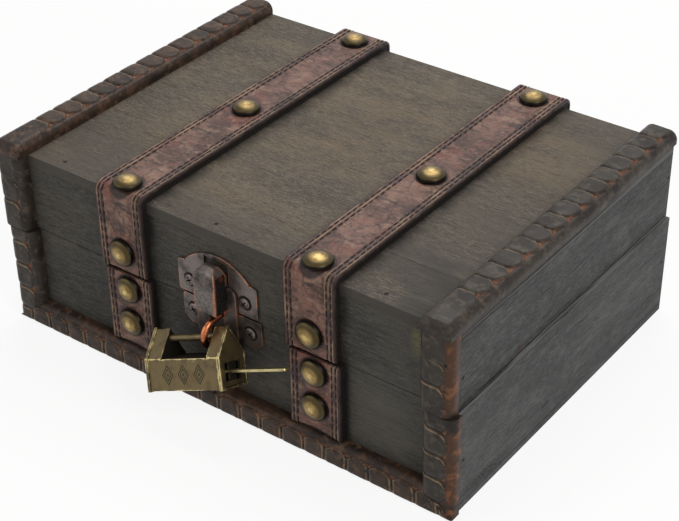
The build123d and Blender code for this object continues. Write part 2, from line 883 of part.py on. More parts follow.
with BuildPart() as bolt:
    with BuildSketch(lock_section(left_u - bolt_plate_thickness)):
        gable(lock_edge)
    extrude(amount=bolt_plate_thickness)
    with BuildSketch(lock_section(left_u)):
        Circle(bar_radius)
    extrude(amount=lock_length - lock_post + bar_hold - overrun)
    with BuildSketch(lock_section(left_u)):
        with Locations((0, chamber_w)):
            Rectangle(2 * stem_half_depth, 2 * stem_half_height)
    extrude(amount=lock_length - stem_inset)
save(bolt, "padlock_bolt")

stem_tip = right_u - stem_inset
leaf_end = left_u + collar_length + leaf_gap
with BuildPart() as springs:
    with BuildSketch(lock_level(chamber_w - leaf_half_height)):
        for side in sides.values():
            with BuildLine():
                Polyline(
                    (stem_tip, side * stem_half_depth),
                    (stem_tip, side * (stem_half_depth + leaf_thickness)),
                    (leaf_end, side * (stem_half_depth + leaf_spread + leaf_thickness)),
                    (leaf_end, side * (stem_half_depth + leaf_spread)),
                    close=True,
                )
            make_face()
    extrude(amount=2 * leaf_half_height)
save(springs, "padlock_springs")

key_tip = plate_u - key_insert
key_end = right_u + key_reach
with BuildPart() as key:
    with BuildSketch(lock_level(chamber_w - key_thickness / 2)) as blade:
        with Locations(((key_tip + key_end) / 2, 0)):
            Rectangle(key_end - key_tip, key_width)
        fillet(blade.vertices().group_by(Axis.X)[-1], key_bow_round)
        with Locations((key_tip + (prong_inner - prong_length) / 2, 0)):
            Rectangle(prong_length + prong_inner, 2 * prong_outer)
        with Locations((key_tip - prong_length / 2, 0)):
            Rectangle(prong_length, 2 * prong_inner, mode=Mode.SUBTRACT)
    extrude(amount=key_thickness)
save(key, "padlock_key")
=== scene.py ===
"""Treasure chest box: stained boards, carved mouldings, stitched leather bands, a hasp and a padlock.

Metres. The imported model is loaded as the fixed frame, and each piece here is made in its place.
"""

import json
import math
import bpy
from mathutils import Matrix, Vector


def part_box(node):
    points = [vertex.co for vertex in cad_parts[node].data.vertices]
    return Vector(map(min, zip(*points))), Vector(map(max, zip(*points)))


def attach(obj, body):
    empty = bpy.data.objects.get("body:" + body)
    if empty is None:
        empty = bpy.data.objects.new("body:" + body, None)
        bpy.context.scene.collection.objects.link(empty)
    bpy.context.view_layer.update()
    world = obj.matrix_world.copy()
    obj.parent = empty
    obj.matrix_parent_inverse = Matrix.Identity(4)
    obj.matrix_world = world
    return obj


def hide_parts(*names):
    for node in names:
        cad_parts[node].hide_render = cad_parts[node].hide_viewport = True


bl_info = {
    "name": "Treasure Chest Box",
    "version": (1, 0, 0),
    "blender": (4, 5, 0),
    "location": "3D View > Sidebar > Chest",
    "description": "Dresses a small wooden treasure chest box",
    "category": "Object",
}

from collections import namedtuple

import bmesh
import bpy
from bpy.props import FloatProperty, FloatVectorProperty, IntProperty, PointerProperty
from mathutils import Matrix, Vector, kdtree, noise as chance

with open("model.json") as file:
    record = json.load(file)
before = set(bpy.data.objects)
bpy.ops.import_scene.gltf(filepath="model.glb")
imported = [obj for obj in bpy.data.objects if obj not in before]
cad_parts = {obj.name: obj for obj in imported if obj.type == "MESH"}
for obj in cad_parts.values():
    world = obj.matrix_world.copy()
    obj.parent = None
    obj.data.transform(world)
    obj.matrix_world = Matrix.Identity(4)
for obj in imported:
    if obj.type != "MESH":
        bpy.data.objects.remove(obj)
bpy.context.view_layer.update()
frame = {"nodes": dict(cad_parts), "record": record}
MM = 0.001


def linear(code):
    """An sRGB hex colour as linear red, green and blue."""
    values = [int(code[i : i + 2], 16) / 255 for i in (1, 3, 5)]
    return tuple(v / 12.92 if v <= 0.04045 else ((v + 0.055) / 1.055) ** 2.4 for v in values)


def add_node(tree, kind, inputs=None, out=None, **settings):
    """Add a node with its settings, set or link its inputs, and give one output or the node."""
    node = tree.nodes.new(kind)
    for key, value in settings.items():
        setattr(node, key, value)
    for key, value in (inputs or {}).items():
        socket = node.inputs[key]
        if isinstance(value, bpy.types.NodeSocket):
            tree.links.new(value, socket)
        else:
            socket.default_value = (*value[:3], 1.0) if socket.type == "RGBA" else value
    return node if out is None else node.outputs[out]


def start_material(name):
    """A new material with its tree and the place on the object."""
    material = bpy.data.materials.new(name)
    material.use_nodes = True
    return material, material.node_tree, add_node(material.node_tree, "ShaderNodeTexCoord", out="Object")


def clouds(tree, place, table):
    """Noise by name; a row says how often it changes per metre, its detail, roughness and bend."""
    made = {}
    for name, (often, detail, rough, bend) in table.items():
        often = (often, often, often) if isinstance(often, float) else often
        spread = add_node(tree, "ShaderNodeMapping", {"Vector": place, "Scale": often}, "Vector")
        given = {"Vector": spread, "Scale": 1.0, "Detail": detail, "Roughness": rough, "Distortion": bend}
        made[name] = add_node(tree, "ShaderNodeTexNoise", given, "Fac")
    return made


def coated(tree, base, masks, rows):
    """Lay coats over the base; a row has a colour, its share, and masks with their start and full value."""
    for tone, share, *needs in rows:
        amount = share
        for mask, low, high in needs:
            span = {"Value": masks[mask], "From Min": low, "From Max": high}
            rise = add_node(tree, "ShaderNodeMapRange", span, "Result", interpolation_type="SMOOTHSTEP")
            amount = add_node(tree, "ShaderNodeMath", {0: amount, 1: rise}, "Value", operation="MULTIPLY")
        # the mix takes its two colours at inputs 6 and 7 and gives one at output 2
        base = add_node(tree, "ShaderNodeMix", {0: amount, 6: base, 7: tone}, 2, data_type="RGBA")
    return base


def finished(material, base, masks, gloss, relief, depth, **values):
    """Link a material's colour, gloss (mask, low, high, from, to) and relief rows (mask, height)."""
    tree = material.node_tree
    shader = tree.nodes["Principled BSDF"]
    tree.links.new(base, shader.inputs["Base Color"])
    mask, low, high, first, last = gloss
    span = {"Value": masks[mask], "From Min": low, "From Max": high, "To Min": first, "To Max": last}
    tree.links.new(add_node(tree, "ShaderNodeMapRange", span, "Result"), shader.inputs["Roughness"])
    height = 0.0
    for mask, rise in relief:
        terms = {0: masks[mask], 1: rise, 2: height}
        height = add_node(tree, "ShaderNodeMath", terms, "Value", operation="MULTIPLY_ADD")
    raised = {"Height": height, "Strength": 1.0, "Distance": depth * MM}
    tree.links.new(add_node(tree, "ShaderNodeBump", raised, "Normal"), shader.inputs["Normal"])
    for key, value in values.items():
        shader.inputs[key.replace("_", " ")].default_value = value
    return material


def holes_at(tree, place, marks, radius):
    """A mask of small round holes at places given in millimetres."""
    edge = {"From Min": radius * HOLE_RIM * MM, "From Max": radius * HOLE_FLOOR * MM}
    found = 0.0
    for mark in marks:
        spot = tuple(value * MM for value in mark)
        far = add_node(tree, "ShaderNodeVectorMath", {0: place, 1: spot}, "Value", operation="DISTANCE")
        here = add_node(tree, "ShaderNodeMapRange", {"Value": far, **edge}, "Result")
        found = add_node(tree, "ShaderNodeMath", {0: found, 1: here}, "Value", operation="MAXIMUM")
    return found


def blot_at(tree, place, middle, size):
    """How far a place lies from a blot's middle, 1 at its rim; both are in millimetres."""
    moved = tuple(-m / s for m, s in zip(middle, size))
    scale = tuple(1 / (s * MM) for s in size)
    shrunk = add_node(
        tree, "ShaderNodeMapping", {"Vector": place, "Location": moved, "Scale": scale}, "Vector"
    )
    return add_node(tree, "ShaderNodeVectorMath", {0: shrunk}, "Value", operation="LENGTH")


# Stained fir: a thin water stain leaves the fine grain standing, worn into paler clouds, no gloss
def stained_board(name, grain, tones, streaks, mottle, cracks=0.0, nails=(), blots=()):
    colours = bpy.context.scene.chest_colours
    deep, body, pale, warm = tones
    material, tree, place = start_material(name)

    def along(slow, fast):
        return (slow, fast, fast) if grain == "x" else (fast, slow, fast)

    table = {
        "cloud": (along(13.0, 24.0), 4.0, 0.6, 0.0),
        "ragged": (along(45.0, 150.0), 2.0, 0.5, 0.0),
        "mottle": (along(60.0, 100.0), 5.0, 0.68, 0.0),
        "streak": (along(22.0, 300.0), 4.0, 0.6, 0.3),
        "fibre": (along(230.0, 1700.0), 3.0, 0.7, 0.3),
        "speck": (1300.0, 2.0, 0.6, 0.0),
        "split": (along(26.0, 800.0), 2.0, 0.5, 0.6),
    }
    masks = clouds(tree, place, table)
    # a crack runs where the split noise passes one value
    passed = {0: masks["split"], 1: 0.33, 2: 0.014}
    masks["crack"] = add_node(tree, "ShaderNodeMath", passed, "Value", operation="COMPARE")
    rows = [
        (body, 1.0, ("cloud", 0.38, 0.62)),
        (pale, 0.4 * streaks, ("streak", 0.48, 0.7)),
        (deep, 0.45 * streaks, ("streak", 0.46, 0.3)),
        (pale, mottle, ("mottle", 0.5, 0.66)),
        (deep, mottle, ("mottle", 0.5, 0.34)),
        (warm, 0.45, ("cloud", 0.48, 0.64), ("ragged", 0.44, 0.62)),
        (pale, 0.8, ("fibre", 0.52, 0.66)),
        (colours.board_dark, 0.75, ("fibre", 0.49, 0.32)),
        (colours.board_dark, 0.5, ("speck", 0.57, 0.7)),
        (pale, 0.5, ("speck", 0.45, 0.34)),
        (colours.black, cracks, ("crack", 0.4, 0.6), ("ragged", 0.46, 0.58)),
    ]
    for count, (middle, size, tone, share, breaks) in enumerate(blots):
        masks[f"blot {count}"] = blot_at(tree, place, middle, size)
        rows.append((tone, share, (f"blot {count}", 1.0, 0.2), (breaks, 0.36, 0.56)))
    relief = [("fibre", 0.55), ("streak", 0.3 * streaks), ("mottle", 0.5 * mottle), ("crack", -cracks)]
    if nails:
        masks["hole"] = holes_at(tree, place, nails, 0.85)
        rows.append((colours.black, 1.0, ("hole", 0.0, 1.0)))
        relief.append(("hole", -2.0))
    base = coated(tree, deep, masks, rows)
    gloss = ("streak", 0.3, 0.7, 0.68, 0.54)
    return finished(material, base, masks, gloss, relief, 0.3, Specular_IOR_Level=0.2)


# Three-ply edge: pale and dark layers show where the lid's top board is sawn through
def ply_board(name):
    colours = bpy.context.scene.chest_colours
    tones = (colours.board_deep, colours.board, colours.board_light, colours.board_warm)
    material = stained_board(name, "x", tones, 0.45, 0.2, 0.25, TOP_NAILS, top_stain_and_shade(colours))
    tree = material.node_tree
    shader = tree.nodes["Principled BSDF"]
    place = add_node(tree, "ShaderNodeTexCoord", out="Object")
    centred = {"Vector": place, "Location": (LID_SHIFT, 0.0, 0.0)}
    middle = add_node(tree, "ShaderNodeMapping", centred, "Vector")
    far = add_node(tree, "ShaderNodeVectorMath", {0: middle}, "Vector", operation="ABSOLUTE")
    parts = add_node(tree, "ShaderNodeSeparateXYZ", {"Vector": far}).outputs
    masks = clouds(tree, place, {"layers": ((6.0, 6.0, 900.0), 2.0, 0.6, 0.0)})
    masks["side"], masks["front"], masks["height"] = parts["X"], parts["Y"], parts["Z"]
    sawn = ("side", *SAWN_SIDE)
    rows = (
        (colours.board_dark, 1.0, sawn),
        (colours.end_light, 1.0, sawn, ("layers", 0.4, 0.6)),
        (colours.black, 0.85, sawn, ("height", *TOP_UNDER)),
        (colours.front, 0.8, ("front", *TOP_FRONT)),
    )
    base = coated(tree, shader.inputs["Base Color"].links[0].from_socket, masks, rows)
    tree.links.new(base, shader.inputs["Base Color"])
    return material


# Carved wood under dark varnish: almost black, rubbed grey on the scales and to rust in the chips, with
# painted shade along each cut and a painted highlight beside it
def carved_wood(name):
    colours = bpy.context.scene.chest_colours
    material, tree, place = start_material(name)
    table = {
        "blotch": (70.0, 4.0, 0.62, 0.0),
        "fleck": (270.0, 4.0, 0.65, 0.0),
        "speck": (800.0, 3.0, 0.65, 0.0),
    }
    masks = clouds(tree, place, table)
    for mark in ("line", "crest", "chip", "worn"):
        masks[mark] = add_node(tree, "ShaderNodeAttribute", out="Fac", attribute_name=mark)
    masks["hole"] = holes_at(tree, place, MOULDING_NAILS, 0.9)
    rows = (
        (colours.moulding, 1.0, ("blotch", 0.38, 0.62)),
        (colours.moulding_sheen, 0.7, ("fleck", 0.5, 0.66)),
        (colours.board_dark, 0.6, ("fleck", 0.46, 0.3)),
        (colours.rust_dark, 0.9, ("worn", 0.15, 0.7), ("blotch", 0.4, 0.56)),
        (colours.rust, 0.9, ("worn", 0.2, 0.8), ("fleck", 0.48, 0.64)),
        (colours.rust, 0.9, ("chip", 0.2, 0.8), ("speck", 0.36, 0.56)),
        # painted highlight: the pale crescent beside each cut
        (colours.painted_crest_highlight, 0.85, ("crest", 0.15, 0.75), ("fleck", 0.32, 0.52)),
        # painted shade: black along the bottom of each cut
        (colours.black, 0.85, ("line", 0.2, 0.9), ("fleck", 0.68, 0.4)),
        (colours.black, 0.4, ("speck", 0.6, 0.74)),
        (colours.black, 1.0, ("hole", 0.0, 1.0)),
    )
    base = coated(tree, colours.moulding_dark, masks, rows)
    relief = (("speck", 0.25), ("fleck", 0.5), ("hole", -2.0))
    gloss = ("blotch", 0.3, 0.7, 0.5, 0.34)
    return finished(material, base, masks, gloss, relief, 0.3, Specular_IOR_Level=0.16)


# Embossed split leather: red brown, pressed in uneven plates, creased, rubbed tan on its rolled edges, with
# painted shade round its studs
def band_leather(name):
    colours = bpy.context.scene.chest_colours
    material, tree, place = start_material(name)
    run = add_node(tree, "ShaderNodeUVMap", out="UV", uv_map="run")
    table = {
        "tone": (50.0, 5.0, 0.66, 0.0),
        "stain": (130.0, 4.0, 0.62, 0.0),
        "dye": (75.0, 4.0, 0.6, 0.4),
        "grain": (850.0, 3.0, 0.65, 0.0),
    }
    masks = clouds(tree, place, table)
    run_table = {
        "crease": ((330.0, 90.0, 1.0), 4.0, 0.62, 0.5),
        "fold": ((45.0, 420.0, 1.0), 4.0, 0.62, 0.5),
    }
    masks.update(clouds(tree, run, run_table))
    masks["ring"] = add_node(tree, "ShaderNodeAttribute", out="Fac", attribute_name="ring")
    far = add_node(tree, "ShaderNodeVectorMath", {0: run}, "Vector", operation="ABSOLUTE")
    masks["across"] = add_node(tree, "ShaderNodeSeparateXYZ", {"Vector": far}, "Y")
    # the pressed plates are cells whose edges wander by up to 8 mm
    warp = add_node(tree, "ShaderNodeTexNoise", {"Vector": place, "Scale": 170.0, "Detail": 2.0}, "Color")
    terms = {0: warp, 1: (8.0 * MM, 8.0 * MM, 0.0), 2: run}
    pulled = add_node(tree, "ShaderNodeVectorMath", terms, "Vector", operation="MULTIPLY_ADD")
    plates = add_node(tree, "ShaderNodeMapping", {"Vector": pulled, "Scale": (85.0, 120.0, 1.0)}, "Vector")
    cells = {"feature": "DISTANCE_TO_EDGE", "voronoi_dimensions": "2D"}
    masks["seam"] = add_node(
        tree, "ShaderNodeTexVoronoi", {"Vector": plates, "Scale": 1.0}, "Distance", **cells
    )
    rolled = ("across", 7.2 * MM, 7.5 * MM)
    rows = [
        (colours.leather, 1.0, ("tone", 0.4, 0.6)),
        (colours.leather_red, 0.85, ("dye", 0.5, 0.64)),
        (colours.leather_rubbed, 0.65, ("stain", 0.52, 0.66)),
        (colours.leather_dark, 0.75, ("stain", 0.46, 0.34)),
        (colours.leather_deep, 0.8, ("crease", 0.46, 0.34)),
        (colours.leather_rubbed, 0.55, ("crease", 0.55, 0.68)),
        (colours.leather_deep, 0.65, ("seam", 0.08, 0.0), ("stain", 0.4, 0.54)),
        (colours.leather_edge, 0.45, ("grain", 0.55, 0.72)),
        (colours.leather_deep, 0.55, ("grain", 0.44, 0.28)),
        (colours.leather_edge, 0.7, rolled, ("fold", 0.5, 0.6)),
        (colours.leather_deep, 0.7, rolled, ("fold", 0.48, 0.38)),
    ]
    for count, row in enumerate(STITCH_ROWS):
        near = {0: masks["across"], 1: row, 2: 0.5 * MM}
        masks[f"row {count}"] = add_node(tree, "ShaderNodeMath", near, "Value", operation="COMPARE")
        rows.append((colours.leather_deep, 0.6, (f"row {count}", 0.4, 0.6)))
    rows += [
        (colours.leather_edge, 0.7, ("across", 10.3 * MM, 10.8 * MM), ("stain", 0.46, 0.6)),
        (colours.leather_deep, 0.95, ("across", 10.8 * MM, 11.2 * MM)),
        # painted shade: dark leather in the ring round each stud's rim
        (colours.leather_deep, 0.9, ("ring", 0.1, 0.9)),
    ]
    base = coated(tree, colours.leather_dark, masks, rows)
    relief = (("seam", 0.6), ("crease", 0.7), ("fold", 0.6), ("grain", 0.35), ("stain", 0.6))
    gloss = ("tone", 0.3, 0.7, 0.54, 0.38)
    return finished(material, base, masks, gloss, relief, 0.85, Specular_IOR_Level=0.26)


def metal_masks(tree, place, scale, bare):
    """Patches, fine grit, where the metal is rubbed bare, and where it holds dirt and painted shade."""
    masks = clouds(tree, place, {"patch": (scale, 4.0, 0.6, 0.0), "fine": (scale * 7.0, 3.0, 0.6, 0.0)})
    for mark, cloud, low, high, first, last in (
        ("rub", "patch", 0.36, 0.64, *bare),
        ("dirt_and_shade", "fine", 0.4, 0.7, -0.2, 0.1),
    ):
        stored = add_node(tree, "ShaderNodeAttribute", out="Fac", attribute_name=mark)
        span = {"Value": masks[cloud], "From Min": low, "From Max": high, "To Min": first, "To Max": last}
        broken = add_node(tree, "ShaderNodeMapRange", span, "Result")
        masks[mark] = add_node(tree, "ShaderNodeMath", {0: stored, 1: broken}, "Value", operation="ADD")
    return masks


def aged_metal(name, tones, roughness, scale, metallic=1.0, bare=(-0.35, 0.12), cut=None):
    """Aged metal: two tones in patches, rubbed bright along its edges, dark where dirt stays and with painted
    shade in its corners and recesses.
    """
    dark, light, edge = tones
    black = bpy.context.scene.chest_colours.black
    material, tree, place = start_material(name)
    masks = metal_masks(tree, place, scale, bare)
    rows = [
        (light, 1.0, ("patch", 0.27, 0.57)),
        (dark, 0.35, ("fine", 0.54, 0.74)),
        (edge, 1.0, ("rub", 0.22, 0.62)),
        # dirt and painted shade, as stored in each piece's points
        (black, 0.92, ("dirt_and_shade", 0.15, 0.8)),
    ]
    relief = [("fine", 0.12)]
    if cut:
        masks["cut"], tone = cut(tree)
        rows.append((tone, 0.85, ("cut", 0.2, 0.8)))
        relief.append(("cut", -1.0))
    base = coated(tree, dark, masks, rows)
    gloss = ("dirt_and_shade", 0.0, 1.0, roughness, roughness + 0.3)
    return finished(material, base, masks, gloss, relief, 0.35, Metallic=metallic)


# Three nested lozenges cut in the padlock's front face
def lozenge_cuts(tree):
    face = add_node(tree, "ShaderNodeAttribute", out="Vector", attribute_name="face")
    parts = add_node(tree, "ShaderNodeSeparateXYZ", {"Vector": face}).outputs
    # the middle one of three cells holds 0, and each cell repeats round its own middle
    cell = add_node(tree, "ShaderNodeMath", {0: parts["X"], 1: ORNAMENT_PITCH}, "Value", operation="DIVIDE")
    nearest_cell = add_node(tree, "ShaderNodeMath", {0: cell}, "Value", operation="ROUND")
    off = add_node(tree, "ShaderNodeMath", {0: cell, 1: nearest_cell}, "Value", operation="SUBTRACT")
    joined = add_node(tree, "ShaderNodeCombineXYZ", {"X": off, "Y": parts["Z"]}, "Vector")
    size = (ORNAMENT_PITCH / LOZENGE_HALF[0], 1 / LOZENGE_HALF[1], 0.0)
    scaled = add_node(tree, "ShaderNodeVectorMath", {0: joined, 1: size}, "Vector", operation="MULTIPLY")
    upright = add_node(tree, "ShaderNodeVectorMath", {0: scaled}, "Vector", operation="ABSOLUTE")
    both = {0: upright, 1: (1.0, 1.0, 0.0)}
    sides = add_node(tree, "ShaderNodeVectorMath", both, "Value", operation="DOT_PRODUCT")
    cut = 0.0
    for ring, width in LOZENGE_RINGS:
        here = add_node(tree, "ShaderNodeMath", {0: sides, 1: ring, 2: width}, "Value", operation="COMPARE")
        cut = add_node(tree, "ShaderNodeMath", {0: cut, 1: here}, "Value", operation="MAXIMUM")
    out = add_node(tree, "ShaderNodeMath", {0: parts["X"]}, "Value", operation="ABSOLUTE")
    for value, limit in ((parts["Y"], LOCK_FRONT), (out, 1.5 * ORNAMENT_PITCH)):
        inside = add_node(tree, "ShaderNodeMath", {0: value, 1: limit}, "Value", operation="LESS_THAN")
        cut = add_node(tree, "ShaderNodeMath", {0: cut, 1: inside}, "Value", operation="MULTIPLY")
    return cut, bpy.context.scene.chest_colours.lock_deep


# Antique brass dome: gold with a painted highlight on its crown, olive with painted shade down its sides,
# black painted shade in the groove round it
def stud_brass(name):
    colours = bpy.context.scene.chest_colours
    material, tree, place = start_material(name)
    masks = clouds(tree, place, {"patch": (330.0, 4.0, 0.62, 0.0), "fine": (2200.0, 2.0, 0.5, 0.0)})
    low = add_node(tree, "ShaderNodeAttribute", out="Fac", attribute_name="low")
    masks["low"] = low
    rings = add_node(tree, "ShaderNodeCombineXYZ", {"X": low, "Y": masks["patch"]}, "Vector")
    masks.update(clouds(tree, rings, {"turning": ((16.0, 1.5, 1.0), 3.0, 0.6, 0.0)}))
    patchy = {0: masks["patch"], 1: 0.55, 2: low}
    masks["side"] = add_node(tree, "ShaderNodeMath", patchy, "Value", operation="MULTIPLY_ADD")
    rows = (
        (colours.brass, 1.0, ("patch", 0.35, 0.62)),
        # painted highlight on the crown
        (colours.brass_painted_highlight, 0.9, ("side", 0.6, 0.28), ("fine", 0.32, 0.52)),
        (colours.brass_turning_and_shade, 0.6, ("turning", 0.5, 0.66)),
        # painted shade down the sides; the same colour also marks the turning rings
        (colours.brass_turning_and_shade, 0.94, ("side", 0.62, 0.98)),
        # painted shade in the groove round the rim
        (colours.black, 0.95, ("low", 0.88, 0.97)),
    )
    base = coated(tree, colours.brass_dark, masks, rows)
    gloss = ("patch", 0.3, 0.7, 0.42, 0.3)
    return finished(material, base, masks, gloss, (("fine", 0.1), ("patch", 0.3)), 0.3, Metallic=0.9)


# Blacked wood and waxed thread: dull, with a fine mottle
def dull_black(name, dark, light, roughness, scale):
    material, tree, place = start_material(name)
    masks = clouds(tree, place, {"mottle": (scale, 4.0, 0.6, 0.0)})
    base = coated(tree, dark, masks, ((light, 1.0, ("mottle", 0.35, 0.7)),))
    gloss = ("mottle", 0.3, 0.7, roughness, roughness - 0.1)
    return finished(material, base, masks, gloss, (("mottle", 0.3),), 0.4, Specular_IOR_Level=0.25)


# A nail hole starts to darken at this share of its radius and is black from the second
HOLE_RIM, HOLE_FLOOR = 1.25, 0.55
# Nail heads and stains of the real box, in millimetres
TOP_NAILS = ((-82.4, -74.2, 81.2), (-3.6, -74.2, 81.2), (74.6, -74.2, 81.2))
END_NAILS = ((108.3, -75.2, 59.7), (110.0, -75.9, 23.5), (108.3, 76.7, 66.1), (110.0, 75.5, 26.2))
MOULDING_NAILS = ((104.9, -62.6, 87.0), (106.5, -1.7, 87.0), (106.9, -84.8, 70.0), (106.0, -84.8, 58.2))
# The padlock's lozenges: from one to the next, half their size, their cuts as (where, half width), and
# how far forward a place lies that can be cut
ORNAMENT_PITCH = 7.6 * MM
LOZENGE_HALF = (2.55 * MM, 3.7 * MM)
LOZENGE_RINGS = ((1.0, 0.11), (0.6, 0.11), (0.0, 0.24))
LOCK_FRONT = -7.9 * MM
# The stitches' distance from a band's middle line
STITCH_ROWS = (8.2 * MM, 10.0 * MM)
# How far the lid hangs to the left, and where its top board is sawn, meets the front and ends below
LID_SHIFT = 1.7 * MM
SAWN_SIDE = (109.85 * MM, 109.95 * MM)
TOP_FRONT = (78.85 * MM, 78.95 * MM)
TOP_UNDER = (77.3 * MM, 77.0 * MM)
FINISHES = {}


def top_stain_and_shade(colours):
    """Painted shade darkening the top towards its right side, front right corner, front left and front edge,
    painted shadow beside the bands, deeper stain at the back right, and two warm places.
    """
    return (
        # painted shade: the right side and its front corner darker, as less light reaches them
        ((104.0, -58.0, 81.2), (88.0, 120.0, 30.0), colours.front, 0.85, "cloud"),
        ((104.0, -78.0, 81.2), (62.0, 64.0, 30.0), colours.board_dark, 0.75, "cloud"),
        # deeper stain at the back right
        ((106.0, 66.0, 81.2), (60.0, 56.0, 30.0), colours.board_deep, 0.75, "mottle"),
        # painted shade: the front left and the front edge darker, as less light reaches them
        ((-80.0, -60.0, 81.2), (80.0, 40.0, 30.0), colours.board_deep, 0.6, "mottle"),
        ((0.0, -82.0, 81.2), (200.0, 30.0, 30.0), colours.front, 0.6, "cloud"),
        ((8.0, 20.0, 81.2), (46.0, 62.0, 30.0), colours.board_warm, 0.35, "mottle"),
        # painted shadow along each band's right side
        ((-34.6, 0.0, 81.2), (8.0, 300.0, 30.0), colours.board_dark, 0.75, "mottle"),
        ((57.9, 0.0, 81.2), (8.0, 300.0, 30.0), colours.board_dark, 0.75, "mottle"),
        ((75.0, 38.0, 81.2), (36.0, 30.0, 30.0), colours.board_warm, 0.35, "mottle"),
    )


def front_stain_and_shadow(colours):
    """Green wear beside the right upright, a paler right end, and painted shadow along each band's right
    side.
    """
    return (
        ((91.5, -79.0, 70.0), (4.0, 3.0, 9.0), colours.lichen, 0.85, "speck"),
        ((84.0, -79.0, 40.0), (30.0, 4.0, 70.0), colours.front_light, 0.5, "cloud"),
        # painted shadow: black along the right side of each band, where the band shades the board
        ((-33.4, -79.0, 40.0), (4.2, 4.0, 300.0), colours.black, 0.85, "cloud"),
        ((59.0, -79.0, 40.0), (4.2, 4.0, 300.0), colours.black, 0.85, "cloud"),
    )


def end_marks_and_painted_light(colours):
    """A red spot, a pitted patch, painted light on the base's rim, and the lines where the lid, the base and
    the bottom sheet meet.
    """
    return (
        ((110.0, -35.6, 48.0), (3.0, 5.0, 2.0), colours.leather_red, 0.7, "speck"),
        ((110.0, -60.0, 6.4), (3.0, 28.0, 4.0), colours.black, 0.95, "speck"),
        # painted light: the base's rim, made pale where it lies in the shade of the lid above it
        ((110.0, 0.0, 46.55), (8.0, 300.0, 0.22), colours.end_rim_painted_light, 1.0, "split"),
        # the lid's lower edge, and the joint between the end board and the bottom sheet
        ((110.0, 0.0, 47.05), (8.0, 300.0, 0.35), colours.black, 0.9, "split"),
        ((110.0, 0.0, 3.3), (8.0, 300.0, 0.8), colours.black, 0.9, "split"),
    )


def finish(name):
    """A finish by name, made once."""
    if name in FINISHES:
        return FINISHES[name]
    c = bpy.context.scene.chest_colours
    front = (c.front_dark, c.front, c.front_light, c.front_warm)
    end = (c.end_dark, c.end, c.end_light, c.end_light)
    latch = (c.latch_dark, c.latch, c.copper)
    wire = (c.copper_deep, c.copper_bright, c.copper_bright)
    screw = (c.latch_dark, c.latch, c.latch_light)
    brass = (c.lock_dark, c.lock, c.lock_light)
    # what makes each finish, the material's name, and the maker's other values
    makers = {
        "top": (ply_board, "stained_three_ply"),
        "front": (stained_board, "stained_front_board", "x", front, 0.3, 0.3, 0.3, (), front_stain_and_shadow(c)),
        "end": (stained_board, "stained_end_board", "y", end, 0.3, 0.6, 0.9, END_NAILS, end_marks_and_painted_light(c)),
        "moulding": (carved_wood, "carved_moulding_wood"),
        "leather": (band_leather, "embossed_band_leather"),
        "batten": (dull_black, "blacked_batten", c.black, c.black_light, 0.75, 400.0),
        "stitch": (dull_black, "waxed_thread", c.black, c.thread, 0.6, 1500.0),
        "stud": (stud_brass, "antique_brass_stud"),
        # bronzed iron: grey-black, rubbed to brown copper along some of its edges
        "latch": (aged_metal, "bronzed_iron_rubbed_to_copper", latch, 0.36, 140.0, 0.8, (-0.85, 0.1)),
        # copper wire: bright where the padlock slides on it
        "copper": (aged_metal, "bright_copper_wire", wire, 0.27, 260.0),
        # bronzed screws: a little shine on their domes, black painted shade in their crosses and round their
        # rims
        "screw": (aged_metal, "bronzed_screw", screw, 0.34, 500.0, 0.85),
        # lock brass: olive tarnish with pale edges where hands rub it
        "lock": (aged_metal, "aged_lock_brass", brass, 0.4, 210.0, 0.72, (-0.95, 0.05), lozenge_cuts),
        # flat brass strip: pale and bright from use
        "key": (aged_metal, "flat_key_brass", (c.lock, c.key, c.lock_light), 0.3, 300.0, 0.85),
        # spring steel: thin grey leaves
        "spring": (aged_metal, "spring_steel", (c.key, c.steel, c.steel), 0.28, 300.0),
    }
    make, *given = makers[name]
    FINISHES[name] = make(*given)
    return FINISHES[name]


def body_for(node):
    for body, nodes in frame["record"]["behaviour"]["bodies"].items():
        if node in nodes:
            return body
    raise RuntimeError(f"{node} is in no body")


def slot_for(node):
    for entry in frame["record"]["subparts"]:
        if entry["node"] == node:
            return entry["material_slot"]
    raise RuntimeError(f"{node} has no slot")


def paint(node, name):
    """Give a CAD node that stays its finish."""
    target = frame["nodes"][node]
    for slot in target.material_slots:
        slot.link = "OBJECT"
        slot.material = finish(name)


def new_piece(name, mesh):
    piece = bpy.data.objects.new(name, mesh)
    bpy.context.scene.collection.objects.link(piece)
    return piece


def hand_over(piece, node):
    """The piece rides with the node's body and stands for it."""
    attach(piece, body_for(node))
    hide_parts(node)


def settled(piece):
    """Turn the piece with its modifiers into a plain mesh."""
    bpy.context.view_layer.update()
    graph = bpy.context.evaluated_depsgraph_get()
    mesh = bpy.data.meshes.new_from_object(piece.evaluated_get(graph))
    piece.modifiers.clear()
    piece.data = mesh


def form_of(mesh):
    """The mesh as a form that can be worked on."""
    form = bmesh.new()
    form.from_mesh(mesh)
    return form


def kept_in(mesh, form):
    """The mesh with the form written to it; the form is let go."""
    form.to_mesh(mesh)
    form.free()
    return mesh


def skin(form, rings):
    """Faces from ring to ring, and one over each end."""
    for first, second in zip(rings, rings[1:]):
        for i in range(len(first)):
            j = (i + 1) % len(first)
            form.faces.new((first[i], first[j], second[j], second[i]))
    form.faces.new(rings[0])
    form.faces.new(list(reversed(rings[-1])))


def quarter(x, y, radius, start, steps):
    """A quarter circle, clockwise from an angle in degrees: its points with their outward directions."""
    turns = [math.radians(start - 90 * step / steps) for step in range(steps + 1)]
    ways = [(math.cos(turn), math.sin(turn)) for turn in turns]
    return [((x + radius * way[0], y + radius * way[1]), way) for way in ways]


def clamped(value):
    return min(max(value, 0.0), 1.0)


